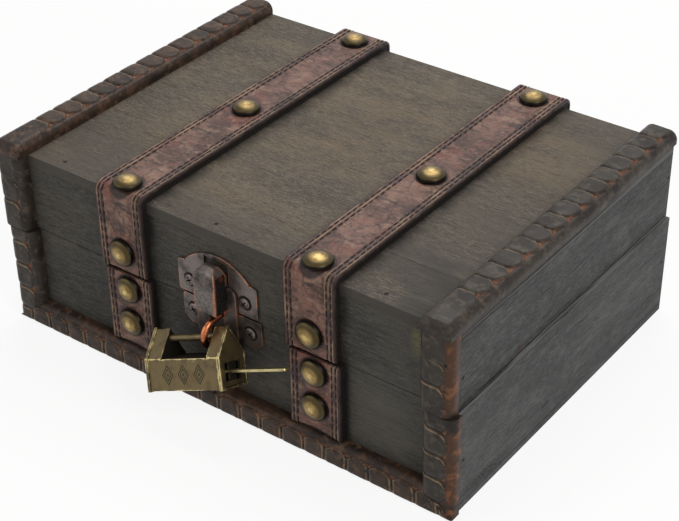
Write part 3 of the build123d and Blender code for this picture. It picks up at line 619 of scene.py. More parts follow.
def smooth(mesh, angle):
    """Smooth shading with edges sharper than the angle kept sharp."""
    form = form_of(mesh)
    for face in form.faces:
        face.smooth = True
    for edge in form.edges:
        edge.smooth = len(edge.link_faces) == 2 and edge.calc_face_angle(0.0) < math.radians(angle)
    kept_in(mesh, form)


def edge_spots(form, low, high, gap):
    """Points along the edges whose turn lies between two angles in degrees; outer corners are above 0."""
    spots = []
    for edge in form.edges:
        if len(edge.link_faces) != 2:
            continue
        turn = math.degrees(edge.calc_face_angle_signed(0.0))
        if not low <= turn <= high:
            continue
        first, second = (vert.co for vert in edge.verts)
        count = max(int((second - first).length / gap), 1)
        spots += [first.lerp(second, (i + 0.5) / count) for i in range(count)]
    return spots


def nearest(spots):
    """A search tree of the points, or None where there are none."""
    if not spots:
        return None
    tree = kdtree.KDTree(len(spots))
    for index, spot in enumerate(spots):
        tree.insert(spot, index)
    tree.balance()
    return tree


def refine(form, limit):
    """Split every edge over the limit, so that the points can store how worn a place is."""
    bmesh.ops.triangulate(form, faces=form.faces)
    for _ in range(9):
        long_edges = [edge for edge in form.edges if edge.calc_length() > limit]
        if not long_edges:
            break
        bmesh.ops.subdivide_edges(form, edges=long_edges, cuts=1)
        bmesh.ops.triangulate(form, faces=[face for face in form.faces if len(face.verts) > 3])


# Points nearer than this are one, and an edge that turns by more degrees is a corner that wears
SAME_PLACE = 1e-6
WORN_TURN = 28.0


def worn_copy(
    node, finish_name, rounding, reach, limit, name=None, shade_rings=(), face_of=None, shade_of=None, bare_of=None
):
    """Stand a copy with rounded edges in a node's place, whose points store their rubbing, their dirt and
    their painted shade.

    In millimetres: how wide the edges are rounded, how far the rubbing reaches, and the longest edge left.
    """
    reach, limit = reach * MM, limit * MM
    mesh = frame["nodes"][node].data.copy()
    mesh.materials.clear()
    form = form_of(mesh)
    bmesh.ops.remove_doubles(form, verts=form.verts, dist=SAME_PLACE)
    bmesh.ops.dissolve_limit(form, angle_limit=math.radians(0.5), verts=form.verts, edges=form.edges)
    outer = nearest(edge_spots(form, WORN_TURN, 180.0, 0.3 * MM))
    inner = nearest(edge_spots(form, -180.0, -WORN_TURN, 0.3 * MM))
    piece = new_piece(name or "worn_" + node, kept_in(mesh, form))
    bevel = piece.modifiers.new("Rounded edges", "BEVEL")
    bevel.width = rounding * MM
    bevel.segments = 3
    bevel.limit_method = "ANGLE"
    bevel.angle_limit = math.radians(32)
    bevel.use_clamp_overlap = True
    settled(piece)
    form = form_of(piece.data)
    refine(form, limit)
    bmesh.ops.recalc_face_normals(form, faces=form.faces)
    rub_layer = form.verts.layers.float.new("rub")
    dirt_and_shade_layer = form.verts.layers.float.new("dirt_and_shade")
    face_layer = form.verts.layers.float_vector.new("face")
    for vert in form.verts:
        if outer:
            vert[rub_layer] = math.exp(-((outer.find(vert.co)[2] / reach) ** 2))
        if bare_of:
            vert[rub_layer] += bare_of(vert.co)
        dirt_and_shade = 0.0
        # painted shade along the inner corners
        if inner:
            dirt_and_shade = 0.75 * math.exp(-((inner.find(vert.co)[2] / (reach * 1.5)) ** 2))
        # painted shade: a dark ring round each screw
        for spot, radius in shade_rings:
            off = ((vert.co - spot).length - radius) / (0.8 * MM)
            dirt_and_shade = max(dirt_and_shade, clamped(1.0 - off))
        if shade_of:
            dirt_and_shade = max(dirt_and_shade, shade_of(vert.co))
        vert[dirt_and_shade_layer] = dirt_and_shade
        if face_of:
            vert[face_layer] = face_of(vert.co)
    kept_in(piece.data, form)
    piece.data.materials.append(finish(finish_name))
    smooth(piece.data, 38.0)
    hand_over(piece, node)


# Geometry Nodes
def tree_with(name, *sockets):
    """A new geometry tree and its named inputs; a row has an input's name, type and default."""
    tree = bpy.data.node_groups.new(name, "GeometryNodeTree")
    tree.interface.new_socket("Geometry", in_out="INPUT", socket_type="NodeSocketGeometry")
    for label, kind, default in sockets:
        socket = tree.interface.new_socket(label, in_out="INPUT", socket_type="NodeSocket" + kind)
        if default is not None:
            socket.default_value = default
    tree.interface.new_socket("Geometry", in_out="OUTPUT", socket_type="NodeSocketGeometry")
    return tree, add_node(tree, "NodeGroupInput").outputs


def ended(tree, given, geometry):
    """End a tree with real pieces that wear its finish."""
    real = add_node(tree, "GeometryNodeRealizeInstances", {"Geometry": geometry}, "Geometry")
    dressed = {"Geometry": real, "Material": given["Finish"]}
    painted = add_node(tree, "GeometryNodeSetMaterial", dressed, "Geometry")
    add_node(tree, "NodeGroupOutput", {"Geometry": painted})
    return tree


def set_on_points_tree():
    """Stands one small piece on every point, turned by the point's stored turn."""
    tree, given = tree_with(
        "Set on points",
        ("Piece", "Object", None),
        ("Size", "Float", 1.0),
        ("Spin", "Float", 0.0),
        ("Seed", "Int", 7),
        ("Finish", "Material", None),
    )
    source = add_node(tree, "GeometryNodeObjectInfo", {"Object": given["Piece"]}, "Geometry")
    stored = add_node(
        tree, "GeometryNodeInputNamedAttribute", {"Name": "turn"}, "Attribute", data_type="FLOAT_VECTOR"
    )
    turn = add_node(tree, "FunctionNodeEulerToRotation", {"Euler": stored}, "Rotation")
    stand = {"Points": given["Geometry"], "Instance": source, "Rotation": turn, "Scale": given["Size"]}
    standing = add_node(tree, "GeometryNodeInstanceOnPoints", stand, "Instances")
    # the random value's plain numbers are its third and fourth inputs and its second output
    limits = {2: 0.0, 3: given["Spin"], "Seed": given["Seed"]}
    spin = add_node(tree, "FunctionNodeRandomValue", limits, 1, data_type="FLOAT")
    around = add_node(tree, "ShaderNodeCombineXYZ", {"Z": spin}, "Vector")
    around = add_node(tree, "FunctionNodeEulerToRotation", {"Euler": around}, "Rotation")
    pair = {"Instances": standing, "Rotation": around}
    spun = add_node(tree, "GeometryNodeRotateInstances", pair, "Instances")
    return ended(tree, given, spun)


def stitch_tree():
    """Lays short stitches end to end along edges, each in line with its row."""
    tree, given = tree_with(
        "Stitch rows",
        ("Spacing", "Float", 0.003),
        ("Stitch length", "Float", 0.0022),
        ("Thread", "Float", 0.0005),
        ("Finish", "Material", None),
    )
    rows = add_node(tree, "GeometryNodeMeshToCurve", {"Mesh": given["Geometry"]}, "Curve")
    spaced = {"Curve": rows, "Length": given["Spacing"]}
    dots = add_node(tree, "GeometryNodeResampleCurve", spaced, "Curve", mode="LENGTH")
    along = add_node(tree, "GeometryNodeInputTangent", out="Tangent")
    turn = add_node(tree, "FunctionNodeAlignRotationToVector", {"Vector": along}, "Rotation", axis="X")
    round_bead = {"Segments": 8, "Rings": 6, "Radius": 0.5}
    bead = add_node(tree, "GeometryNodeMeshUVSphere", round_bead, "Mesh")
    size = {"X": given["Stitch length"], "Y": given["Thread"], "Z": given["Thread"]}
    shape = add_node(tree, "ShaderNodeCombineXYZ", size, "Vector")
    stand = {"Points": dots, "Instance": bead, "Rotation": turn, "Scale": shape}
    return ended(tree, given, add_node(tree, "GeometryNodeInstanceOnPoints", stand, "Instances"))


# How each place on a moulding is carved, from its run along, its place across and its stored freedom
CARVING_STEPS = (
    ("sway", "SUBTRACT", "wave", 0.5),
    ("room", "MULTIPLY", "Wander", 4.0),
    ("from start", "SUBTRACT", "along", "Start"),
    ("shaken", "MULTIPLY_ADD", "sway", "room", "from start"),
    ("phase", "DIVIDE", "shaken", "Pitch"),
    ("middle", "ROUND", "phase"),
    ("from middle", "SUBTRACT", "phase", "middle"),
    ("off", "ABSOLUTE", "from middle"),
    # the scale narrows to its tip along a quarter round
    ("to tip", "SUBTRACT", "across", "Tip start"),
    ("tip room", "SUBTRACT", "Tip end", "Tip start"),
    ("tip", "DIVIDE", "to tip", "tip room"),
    ("tip square", "MULTIPLY", "tip", "tip"),
    ("left", "SUBTRACT", 1.0, "tip square"),
    ("half raw", "SQRT", "left"),
    ("half", "MULTIPLY", "half raw", 0.5),
    ("inside", "SUBTRACT", "half", "off"),
    ("edge share", "DIVIDE", "inside", "Edge share"),
    ("turned", "SUBTRACT", 1.0, "edge share"),
    ("drop edge", "MULTIPLY", "turned", "turned"),
    # the carving fades past the tips, at the moulding's back edge and where it isn't free
    ("fade end", "ADD", "Tip end", 0.16),
    ("fade start", "SUBTRACT", "Tip end", 0.2),
    ("fade tips", "RISE", "across", "fade end", "fade start"),
    ("fade back", "RISE", "across", -1.0, -0.86),
    ("fade free", "MULTIPLY", "fade tips", "free"),
    ("fade", "MULTIPLY", "fade free", "fade back"),
    ("waste", "LESS_THAN", "inside", 0.0),
    ("cut out", "MULTIPLY", "waste", "fade"),
    # painted shade: the line marks the bottom of each cut, which is painted black
    ("from edge", "ABSOLUTE", "inside"),
    ("edge far", "DIVIDE", "from edge", 0.035),
    ("thin", "SUBTRACT", 1.0, "edge far"),
    ("line", "MULTIPLY", "thin", "fade"),
    ("drop faded", "MULTIPLY", "drop edge", "fade"),
    ("line share", "MULTIPLY", "line", 0.35),
    ("drop shape", "ADD", "drop faded", "line share"),
    ("dent", "RISE", "dents", 0.45, 0.8),
    ("drop dented", "MULTIPLY_ADD", "dent", 0.3, "drop shape"),
    ("drop depth", "MULTIPLY", "drop dented", "Depth"),
    ("chip place", "RISE", "across", 0.2, 0.6),
    ("chip share", "MULTIPLY", "cut out", "chip place"),
    ("drop", "MULTIPLY_ADD", "chip share", "Chip depth", "drop depth"),
    ("push", "MULTIPLY", "drop", -1.0),
    # rust shows in the nick between two tips
    ("nick end", "ADD", "Tip end", 0.06),
    ("nick start", "SUBTRACT", "Tip end", 0.16),
    ("nick", "RISE", "across", "nick end", "nick start"),
    ("chip", "MULTIPLY", "cut out", "nick"),
    # a painted highlight: a pale crescent beside the cut, on the side that faces the light
    ("crest middle", "SUBTRACT", "inside", 0.085),
    ("crest off", "ABSOLUTE", "crest middle"),
    ("crest far", "DIVIDE", "crest off", 0.05),
    ("crest raw", "SUBTRACT", 1.0, "crest far"),
    ("crest side", "MULTIPLY", "from middle", "Crest side"),
    ("lit", "RISE", "crest side", -0.12, 0.02),
    ("crest faded", "MULTIPLY", "crest raw", "fade"),
    ("crest", "MULTIPLY", "crest faded", "lit"),
    # hands rub the outer corner and the cuts' edges near it
    ("corner", "RISE", "across", 0.72, 0.95),
    ("corner wear", "MULTIPLY", "corner", 0.2),
    ("side", "RISE", "across", 0.4, 0.8),
    ("side wear", "MULTIPLY", "side", "Side wear"),
    ("worn edge", "MAXIMUM", "corner wear", "side wear"),
    ("near side", "RISE", "across", 0.1, 0.7),
    ("cut wear", "MULTIPLY", "turned", "near side"),
    ("cut wear faded", "MULTIPLY", "cut wear", "fade"),
    ("cut wear share", "MULTIPLY", "cut wear faded", 0.75),
    ("worn parts", "MAXIMUM", "worn edge", "cut wear share"),
    ("worn", "MAXIMUM", "worn parts", "Overall wear"),
)
CLAMPED_STEPS = ("tip", "turned", "thin", "crest raw")


def carving_tree():
    """Cuts a row of round-ended scales into a moulding, whose points store their run and their lift."""
    tree, given = tree_with(
        "Scale carving",
        ("Pitch", "Float", 0.0105),
        ("Start", "Float", 0.0),
        ("Depth", "Float", 0.0008),
        ("Chip depth", "Float", 0.0009),
        ("Edge share", "Float", 0.2),
        ("Tip start", "Float", 0.15),
        ("Tip end", "Float", 0.66),
        ("Crest side", "Float", 0.0),
        ("Side wear", "Float", 0.3),
        ("Overall wear", "Float", 0.0),
        ("Wander", "Float", 0.0006),
        ("Seed", "Float", 3.0),
        ("Finish", "Material", None),
    )

    made = {socket.name: socket for socket in given if socket.name}
    place = add_node(tree, "GeometryNodeInputPosition", out=0)
    for name, scale, detail in (("wave", 90.0, 2.0), ("dents", 140.0, 3.0)):
        noise = {"Vector": place, "W": given["Seed"], "Scale": scale, "Detail": detail}
        made[name] = add_node(tree, "ShaderNodeTexNoise", noise, "Fac", noise_dimensions="4D")
    for name in ("run", "lift"):
        made[name] = add_node(
            tree, "GeometryNodeInputNamedAttribute", {"Name": name}, "Attribute", data_type="FLOAT_VECTOR"
        )
    parts = add_node(tree, "ShaderNodeSeparateXYZ", {"Vector": made["run"]}).outputs
    made.update({"along": parts["X"], "across": parts["Y"], "free": parts["Z"]})
    # a row names a value, what is done, and to what; RISE goes from 0 to 1 between two values
    for name, operation, *terms in CARVING_STEPS:
        terms = [made.get(term, term) for term in terms]
        if operation == "RISE":
            span = dict(zip(("Value", "From Min", "From Max"), terms))
            made[name] = add_node(tree, "ShaderNodeMapRange", span, "Result", interpolation_type="SMOOTHSTEP")
        else:
            span = dict(enumerate(terms))
            clamp = name in CLAMPED_STEPS
            made[name] = add_node(tree, "ShaderNodeMath", span, "Value", operation=operation, use_clamp=clamp)
    pushed = {0: made["lift"], "Scale": made["push"]}
    push = add_node(tree, "ShaderNodeVectorMath", pushed, "Vector", operation="SCALE")
    cut = {"Geometry": given["Geometry"], "Offset": push}
    shape = add_node(tree, "GeometryNodeSetPosition", cut, "Geometry")
    for name in ("line", "crest", "chip", "worn"):
        mark = {"Geometry": shape, "Name": name, "Value": made[name]}
        shape = add_node(
            tree, "GeometryNodeStoreNamedAttribute", mark, "Geometry", data_type="FLOAT", domain="POINT"
        )
    return ended(tree, given, shape)


def made_by(tree, piece, values):
    """Run the tree on the piece, its named inputs set by identifier, and keep the outcome as a mesh."""
    modifier = piece.modifiers.new(tree.name, "NODES")
    modifier.node_group = tree
    for item in tree.interface.items_tree:
        if item.item_type == "SOCKET" and item.in_out == "INPUT" and item.name in values:
            modifier[item.identifier] = values[item.name]
    settled(piece)


def size(name, description, millimetres):
    return FloatProperty(name=name, description=description, default=millimetres * MM, unit="LENGTH")


class ChestSizes(bpy.types.PropertyGroup):
    """Sizes of the chest's fine work"""

    groove_depth: size("Groove depth", "Depth of the cut between scales", 0.62)
    chip_depth: size("Chip depth", "Depth of the nick at each scale's tip", 0.5)
    stitch_spacing: size("Stitch spacing", "From stitch to stitch", 3.8)
    stitch_length: size("Stitch length", "Length of one stitch", 2.9)
    thread: size("Thread", "Thickness of the thread", 0.72)
    seed: IntProperty(name="Seed", description="Seed for every random spin", default=7)


def colour(name, description, code):
    return FloatVectorProperty(
        name=name, description=description, default=linear(code), subtype="COLOR", size=3, min=0, max=1
    )


class ChestColours(bpy.types.PropertyGroup):
    """Colours of the chest's finishes"""

    board: colour("Board", "Stained board on the top", "#5d5346")
    board_deep: colour("Deep board", "Where the top's stain is deep", "#48423b")
    board_light: colour("Light board", "Lighter streaks on the top", "#746858")
    # board_dark also paints shade on the top board
    board_dark: colour("Dark grain", "Stain held in the grain", "#24201c")
    board_warm: colour("Warm board", "Warm worn clouds", "#6d5d48")
    # front also paints shade on the top board's front and right
    front: colour("Front board", "Stained front boards", "#3f3c37")
    front_dark: colour("Dark front board", "Deep stain on the front", "#2f2d2a")
    front_light: colour("Light front board", "Lighter streaks on the front", "#504d46")
    front_warm: colour("Warm front board", "Warm worn clouds on the front", "#423a2c")
    end: colour("End board", "Stained end boards", "#424242")
    end_dark: colour("Dark end board", "Deep stain on the ends", "#363636")
    end_light: colour("Light end board", "Lighter streaks on the ends", "#575756")
    # painted light: this pale colour lightens the base's rim, which the lid shades
    end_rim_painted_light: colour("Pale rim", "The base's rim where the lid rubs it", "#7a7978")
    lichen: colour("Green wear", "Yellow-green wear on the front board", "#6f6b3c")
    moulding: colour("Moulding", "Varnish on the mouldings", "#352f29")
    moulding_dark: colour("Dark moulding", "Deep varnish", "#241d19")
    moulding_sheen: colour("Moulding sheen", "Rubbed varnish", "#4e473d")
    rust: colour("Rust", "Wood rubbed through in the chips", "#74492e")
    rust_dark: colour("Dark rust", "Varnish worn thin beside the cuts", "#462e20")
    # painted highlight beside each scale's cut
    painted_crest_highlight: colour("Rubbed line", "Pale edge of each scale", "#867059")
    leather: colour("Leather", "Leather bands", "#745347")
    leather_dark: colour("Dark leather", "Hollows of the leather", "#46302a")
    leather_red: colour("Red leather", "Dye left in the leather", "#6d4036")
    # leather_deep also paints shade round the studs
    leather_deep: colour("Deep leather", "Leather in the seams", "#261a17")
    leather_rubbed: colour("Rubbed leather", "Rubbed leather", "#8c6f5e")
    leather_edge: colour("Leather edge", "Raw edge of the leather", "#94755c")
    thread: colour("Thread", "Stitching", "#211814")
    # black also paints shade and shadow: in the mouldings' cuts, round the studs, on the metal and beside the
    # bands
    black: colour("Black", "Blacked battens", "#0d0b0a")
    black_light: colour("Worn black", "Battens where they are rubbed", "#151311")
    brass: colour("Stud brass", "Dome studs", "#ae935c")
    brass_dark: colour("Dark stud brass", "Tarnish on the studs", "#6f5a35")
    # painted highlight on the studs' crowns
    brass_painted_highlight: colour("Bright stud brass", "The crowns of the studs", "#d6bd80")
    # painted shade on the studs' sides, also their turning rings
    brass_turning_and_shade: colour("Deep stud brass", "The sides of the studs", "#3a3220")
    latch: colour("Latch", "Bronzed latch plates", "#6d6561")
    latch_dark: colour("Dark latch", "Bronzing in the hollows", "#38322f")
    latch_light: colour("Light latch", "Rubbed screws", "#6e6763")
    copper: colour("Copper edge", "Rubbed edges of the latch", "#9a6c56")
    copper_bright: colour("Bright copper", "The staple's wire", "#b8714c")
    copper_deep: colour("Deep copper", "Shaded copper", "#74402b")
    lock: colour("Lock brass", "The padlock's faces", "#65573b")
    lock_dark: colour("Dark lock brass", "Tarnish on the padlock", "#4d422d")
    lock_deep: colour("Deep lock brass", "The ornament's cuts", "#2a2318")
    lock_light: colour("Light lock brass", "Rubbed edges of the padlock", "#b8a878")
    key: colour("Key", "The key's metal", "#b3a57c")
    steel: colour("Steel", "Spring leaves", "#a5a5a0")


# How the mouldings that run each way are carved: pitch and start in millimetres, and their marks
CARVING = {
    "y": {"Pitch": 10.15, "Start": 7.4, "Crest side": 1.0, "Tip end": 0.74, "Side wear": 0.06},
    "z": {"Pitch": 11.3, "Start": 0.0, "Crest side": -1.0, "Tip end": 0.62, "Side wear": 0.7},
    "x": {"Pitch": 10.4, "Start": 3.0, "Crest side": 0.0, "Tip end": 0.62, "Side wear": 0.35},
}
# How high the uprights' first cuts lie
FIRST_CUT = {"lid": 70.65 * MM, "base": 40.1 * MM}
# How round the mouldings' corners, the foot's lower corner and the top mouldings' front ends are
MOULDING_ROUND, FOOT_LOW_ROUND, END_ROUND = 4.0 * MM, 1.5 * MM, 2.6 * MM
# The mitre's width, and from one row of a moulding's points to the next
MITRE_WIDTH, ROW_GAP = 14.4 * MM, 0.42 * MM
# The lid's mouldings are plain at their ends: how long and then how gently the carving starts and ends
PLAIN_ENDS = {"y": (17.0 * MM, 3.0 * MM, 1.5 * MM, 2.0 * MM), "z": (10.0 * MM, 3.0 * MM, 4.0 * MM, 2.0 * MM)}
# Mouldings: the way that each runs, its side, the way across to the scales' tips, and outwards
MOULDINGS = {
    "lid_left_top_moulding": ("y", -1, (1, 0, 0), (0, 0, 1)),
    "lid_right_top_moulding": ("y", 1, (1, 0, 0), (0, 0, 1)),
    "lid_left_moulding": ("z", -1, (1, 0, 0), (0, -1, 0)),
    "lid_right_moulding": ("z", 1, (1, 0, 0), (0, -1, 0)),
    "base_left_moulding": ("z", -1, (1, 0, 0), (0, -1, 0)),
    "base_right_moulding": ("z", 1, (1, 0, 0), (0, -1, 0)),
    "base_foot_moulding": ("x", 0, (0, 0, 1), (0, -1, 0)),
}


def half_round(width, rise, low_corner, high_corner):
    """Points and outward directions over a moulding's section, from one foot to the other."""
    half = width / 2
    flat = width - low_corner - high_corner
    points = [((-half, (rise - low_corner) * step / 4), (-1.0, 0.0)) for step in range(4)]
    points += quarter(-half + low_corner, rise - low_corner, low_corner, 180, 12)
    points += [((-half + low_corner + flat * step / 20, rise), (0.0, 1.0)) for step in range(1, 20)]
    points += quarter(half - high_corner, rise - high_corner, high_corner, 90, 12)
    points += [((half, (rise - high_corner) * (1 - step / 4)), (1.0, 0.0)) for step in range(1, 5)]
    return points


def carved_strip(node, axis, across_way, up_way):
    """A plain moulding in a node's place, ready for the carving."""
    low, high = (Vector(corner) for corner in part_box(node))
    across_way, up_way = Vector(across_way), Vector(up_way)
    along_way = {"y": Vector((0, 1, 0)), "z": Vector((0, 0, -1)), "x": Vector((1, 0, 0))}[axis]
    size = high - low
    length, width, rise = (abs(size.dot(way)) for way in (along_way, across_way, up_way))
    start = (low + high) / 2 - along_way * length / 2 - up_way * rise / 2
    section = half_round(width, rise, FOOT_LOW_ROUND if axis == "x" else MOULDING_ROUND, MOULDING_ROUND)
    ends = END_ROUND if axis == "y" else 0.0
    plain = PLAIN_ENDS[axis] if node.startswith("lid") else None
    count = int(length / ROW_GAP)
    form = bmesh.new()
    run_layer = form.verts.layers.float_vector.new("run")
    lift_layer = form.verts.layers.float_vector.new("lift")
    rings = []
    for row in range(count + 1):
        place = length * row / count
        pull = 0.0
        if place < ends:
            pull = ends - math.sqrt(max(ends**2 - (ends - place) ** 2, 0.0))
        free = 1.0
        if plain:
            free = clamped((place - plain[0]) / plain[1])
            free *= clamped((length - plain[2] - place) / plain[3])
        ring = []
        for (x, y), (nx, ny) in section:
            x_in = x - nx * pull if ny > 0 else x
            y_in = max(y - ny * pull, 0.0)
            vert = form.verts.new(start + along_way * place + across_way * x_in + up_way * y_in)
            vert[run_layer] = (place, 2 * x / width, free)
            vert[lift_layer] = across_way * nx + up_way * ny
            ring.append(vert)
        rings.append(ring)
    skin(form, rings)
    bmesh.ops.recalc_face_normals(form, faces=form.faces)
    return form


def mitre(form, side, foot, keep_above):
    """Cut a strip along the mitre between an upright and the foot, on one side."""
    low, high = (Vector(corner) for corner in foot)
    outer = low.x if side < 0 else high.x
    inner = outer - side * MITRE_WIDTH
    line = Vector((outer - inner, 0, -(high.z - low.z)))
    normal = line.cross(Vector((0, 1, 0))).normalized()
    if (normal.z > 0) != keep_above:
        normal = -normal
    cut = bmesh.ops.bisect_plane(
        form,
        geom=form.verts[:] + form.edges[:] + form.faces[:],
        plane_co=(inner, 0, high.z),
        plane_no=-normal,
        clear_outer=True,
    )
    edges = [item for item in cut["geom_cut"] if isinstance(item, bmesh.types.BMEdge)]
    bmesh.ops.contextual_create(form, geom=edges)


class CHEST_OT_mouldings(bpy.types.Operator):
    """Carve the seven mouldings"""

    bl_idname = "chest.mouldings"
    bl_label = "Carved mouldings"

    def execute(self, context):
        sizes = context.scene.chest_sizes
        tree = carving_tree()
        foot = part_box("base_foot_moulding")
        for count, (node, (axis, side, across_way, up_way)) in enumerate(MOULDINGS.items()):
            given = CARVING[axis]
            start = given["Start"] * MM
            if axis == "z":
                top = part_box(node)[1][2]
                start = top - FIRST_CUT[node.split("_")[0]] - given["Pitch"] * MM / 2
            form = carved_strip(node, axis, across_way, up_way)
            if axis == "x":
                mitre(form, -1, foot, False)
                mitre(form, 1, foot, False)
            elif node.startswith("base"):
                mitre(form, side, foot, True)
            bmesh.ops.triangulate(form, faces=[face for face in form.faces if len(face.verts) > 4])
            piece = new_piece("carved_" + node, kept_in(bpy.data.meshes.new(node), form))
            # hands rub the left uprights least, and the foot and the left top moulding all over
            values = {
                "Pitch": given["Pitch"] * MM,
                "Start": start,
                "Depth": sizes.groove_depth,
                "Chip depth": sizes.chip_depth,
                "Crest side": given["Crest side"],
                "Side wear": given["Side wear"] * (0.15 if axis == "z" and side < 0 else 1.0),
                "Overall wear": 0.4 if axis == "x" or (axis == "y" and side < 0) else 0.0,
                "Tip end": given["Tip end"],
                "Seed": float(sizes.seed + count),
                "Finish": finish("moulding"),
            }
            made_by(tree, piece, values)
            smooth(piece.data, 50.0)
            hand_over(piece, node)
        return {"FINISHED"}


# Leather bands: thickness, the bend over the lid's edges, and the gap below them at the lid's back
LEATHER, BEND, BACK_GAP = 1.4 * MM, 2.6 * MM, 3.7 * MM
# From one row of a band's points to the next, and how many steps a row has
PATH_GAP, BAND_STEPS = 0.9 * MM, 52
# How deep and how wide the seams and the studs press the leather
SEAM_PRESS, SEAM_WIDTH = 0.3 * MM, 0.4 * MM
STUD_PRESS, STUD_WIDTH = 0.35 * MM, 0.9 * MM
# How far the leather sways, its thinnest place, how far its underside and its thread stand off
SWAY, THINNEST, UNDER_LIFT, THREAD_LIFT = 0.12 * MM, 0.3 * MM, 0.02 * MM, 0.12 * MM
# Where a band's edge grows soft, how deep it is nibbled, and how far its end's last millimetre is pressed
SOFT_EDGE, NIBBLE, END_PRESS = 11.0 * MM, 0.4 * MM, 0.35 * MM
# How long an end's cut draws on the leather, how rough, tongued or wavy it is, and where the seams stop
END_PULL, ROUGH, TONGUE, WAVE, SEAM_END = 4.0 * MM, 0.25 * MM, 1.7 * MM, 0.5 * MM, 1.2 * MM
Band = namedtuple("Band", "kind middle half path spots")
BAND_NODES = {
    f"{place}_{side}": kind
    for place, kind in (
        ("lid_strap_leather", "lid"),
        ("base_front_strap_leather", "front"),
        ("base_back_strap_leather", "back"),
    )
    for side in ("left", "right")
}


def band_path(node, kind):
    """The leather's underside as (y, z) points with their outward directions."""
    low, high = (Vector(corner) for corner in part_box(node))
    front, back, top = low.y + LEATHER, high.y - LEATHER, high.z - LEATHER
    if kind == "front":
        return [((front, low.z), (-1, 0)), ((front, high.z), (-1, 0))]
    if kind == "back":
        return [((back, low.z), (1, 0)), ((back, high.z), (1, 0))]
    points = [((front, low.z), (-1, 0)), ((front, top - BEND), (-1, 0))]
    points += quarter(front + BEND, top - BEND, BEND, 180, 8)[1:-1]
    points += [((front + BEND, top), (0, 1)), ((back - BEND, top), (0, 1))]
    points += quarter(back - BEND, top - BEND, BEND, 90, 8)[1:-1]
    points += [((back, top - BEND), (1, 0)), ((back, low.z + BACK_GAP), (1, 0))]
    return points


def walked(points, step):
    """The path with extra points on its long runs, and the distance walked to each."""
    result = []
    so_far = 0.0
    for (here, way), (there, next_way) in zip(points, points[1:]):
        gap = math.dist(here, there)
        count = max(int(gap / step), 1)
        for part in range(count):
            share = part / count
            spot = tuple(a + (b - a) * share for a, b in zip(here, there))
            facing = Vector([a + (b - a) * share for a, b in zip(way, next_way)])
            result.append((spot, tuple(facing.normalized()), so_far + gap * share))
        so_far += gap
    result.append((*points[-1], so_far))
    return result


def forward(path, distance):
    """The way along the band, as (y, z), at the end that is nearer."""
    first, second = (path[0], path[1]) if distance < path[-1][2] / 2 else (path[-2], path[-1])
    way = Vector((second[0][0] - first[0][0], second[0][1] - first[0][1]))
    return tuple(way.normalized())


def band_height(distance, across, spots):
    """The leather's height: pressed along its seams and round its studs, soft at its edges."""
    far = abs(across)
    height = LEATHER
    for row in STITCH_ROWS:
        height -= SEAM_PRESS * math.exp(-(((far - row) / SEAM_WIDTH) ** 2))
    if far < STITCH_ROWS[0]:
        sway = chance.noise(Vector((distance * 60, across * 90, len(spots))))
        height -= SWAY + SWAY * sway
    height -= 0.5 * MM * (max(far - SOFT_EDGE, 0.0) / MM) ** 2
    ring = 0.0
    for spot in spots:
        off = math.dist((distance, across), (spot, 0.0)) - STUD_RADIUS * MM
        if off < 3.0 * MM:
            ring = max(ring, math.exp(-((max(off, 0.0) / STUD_WIDTH) ** 2)))
    return max(height - STUD_PRESS * ring, THINNEST), ring


def shaped_end(kind, at_start, across, half):
    """How far a band's end is cut back at a place across it."""
    rough = ROUGH * (1 + chance.noise(Vector((across * 700, 3.0 if at_start else 8.0, 1.0))))
    if kind == "front" and at_start:
        return TONGUE * (1 - (across / half) ** 2) + rough
    if kind == "lid" and at_start:
        return WAVE * (1 + chance.noise(Vector((across * 160, 5.0, 2.0)))) + rough
    return rough


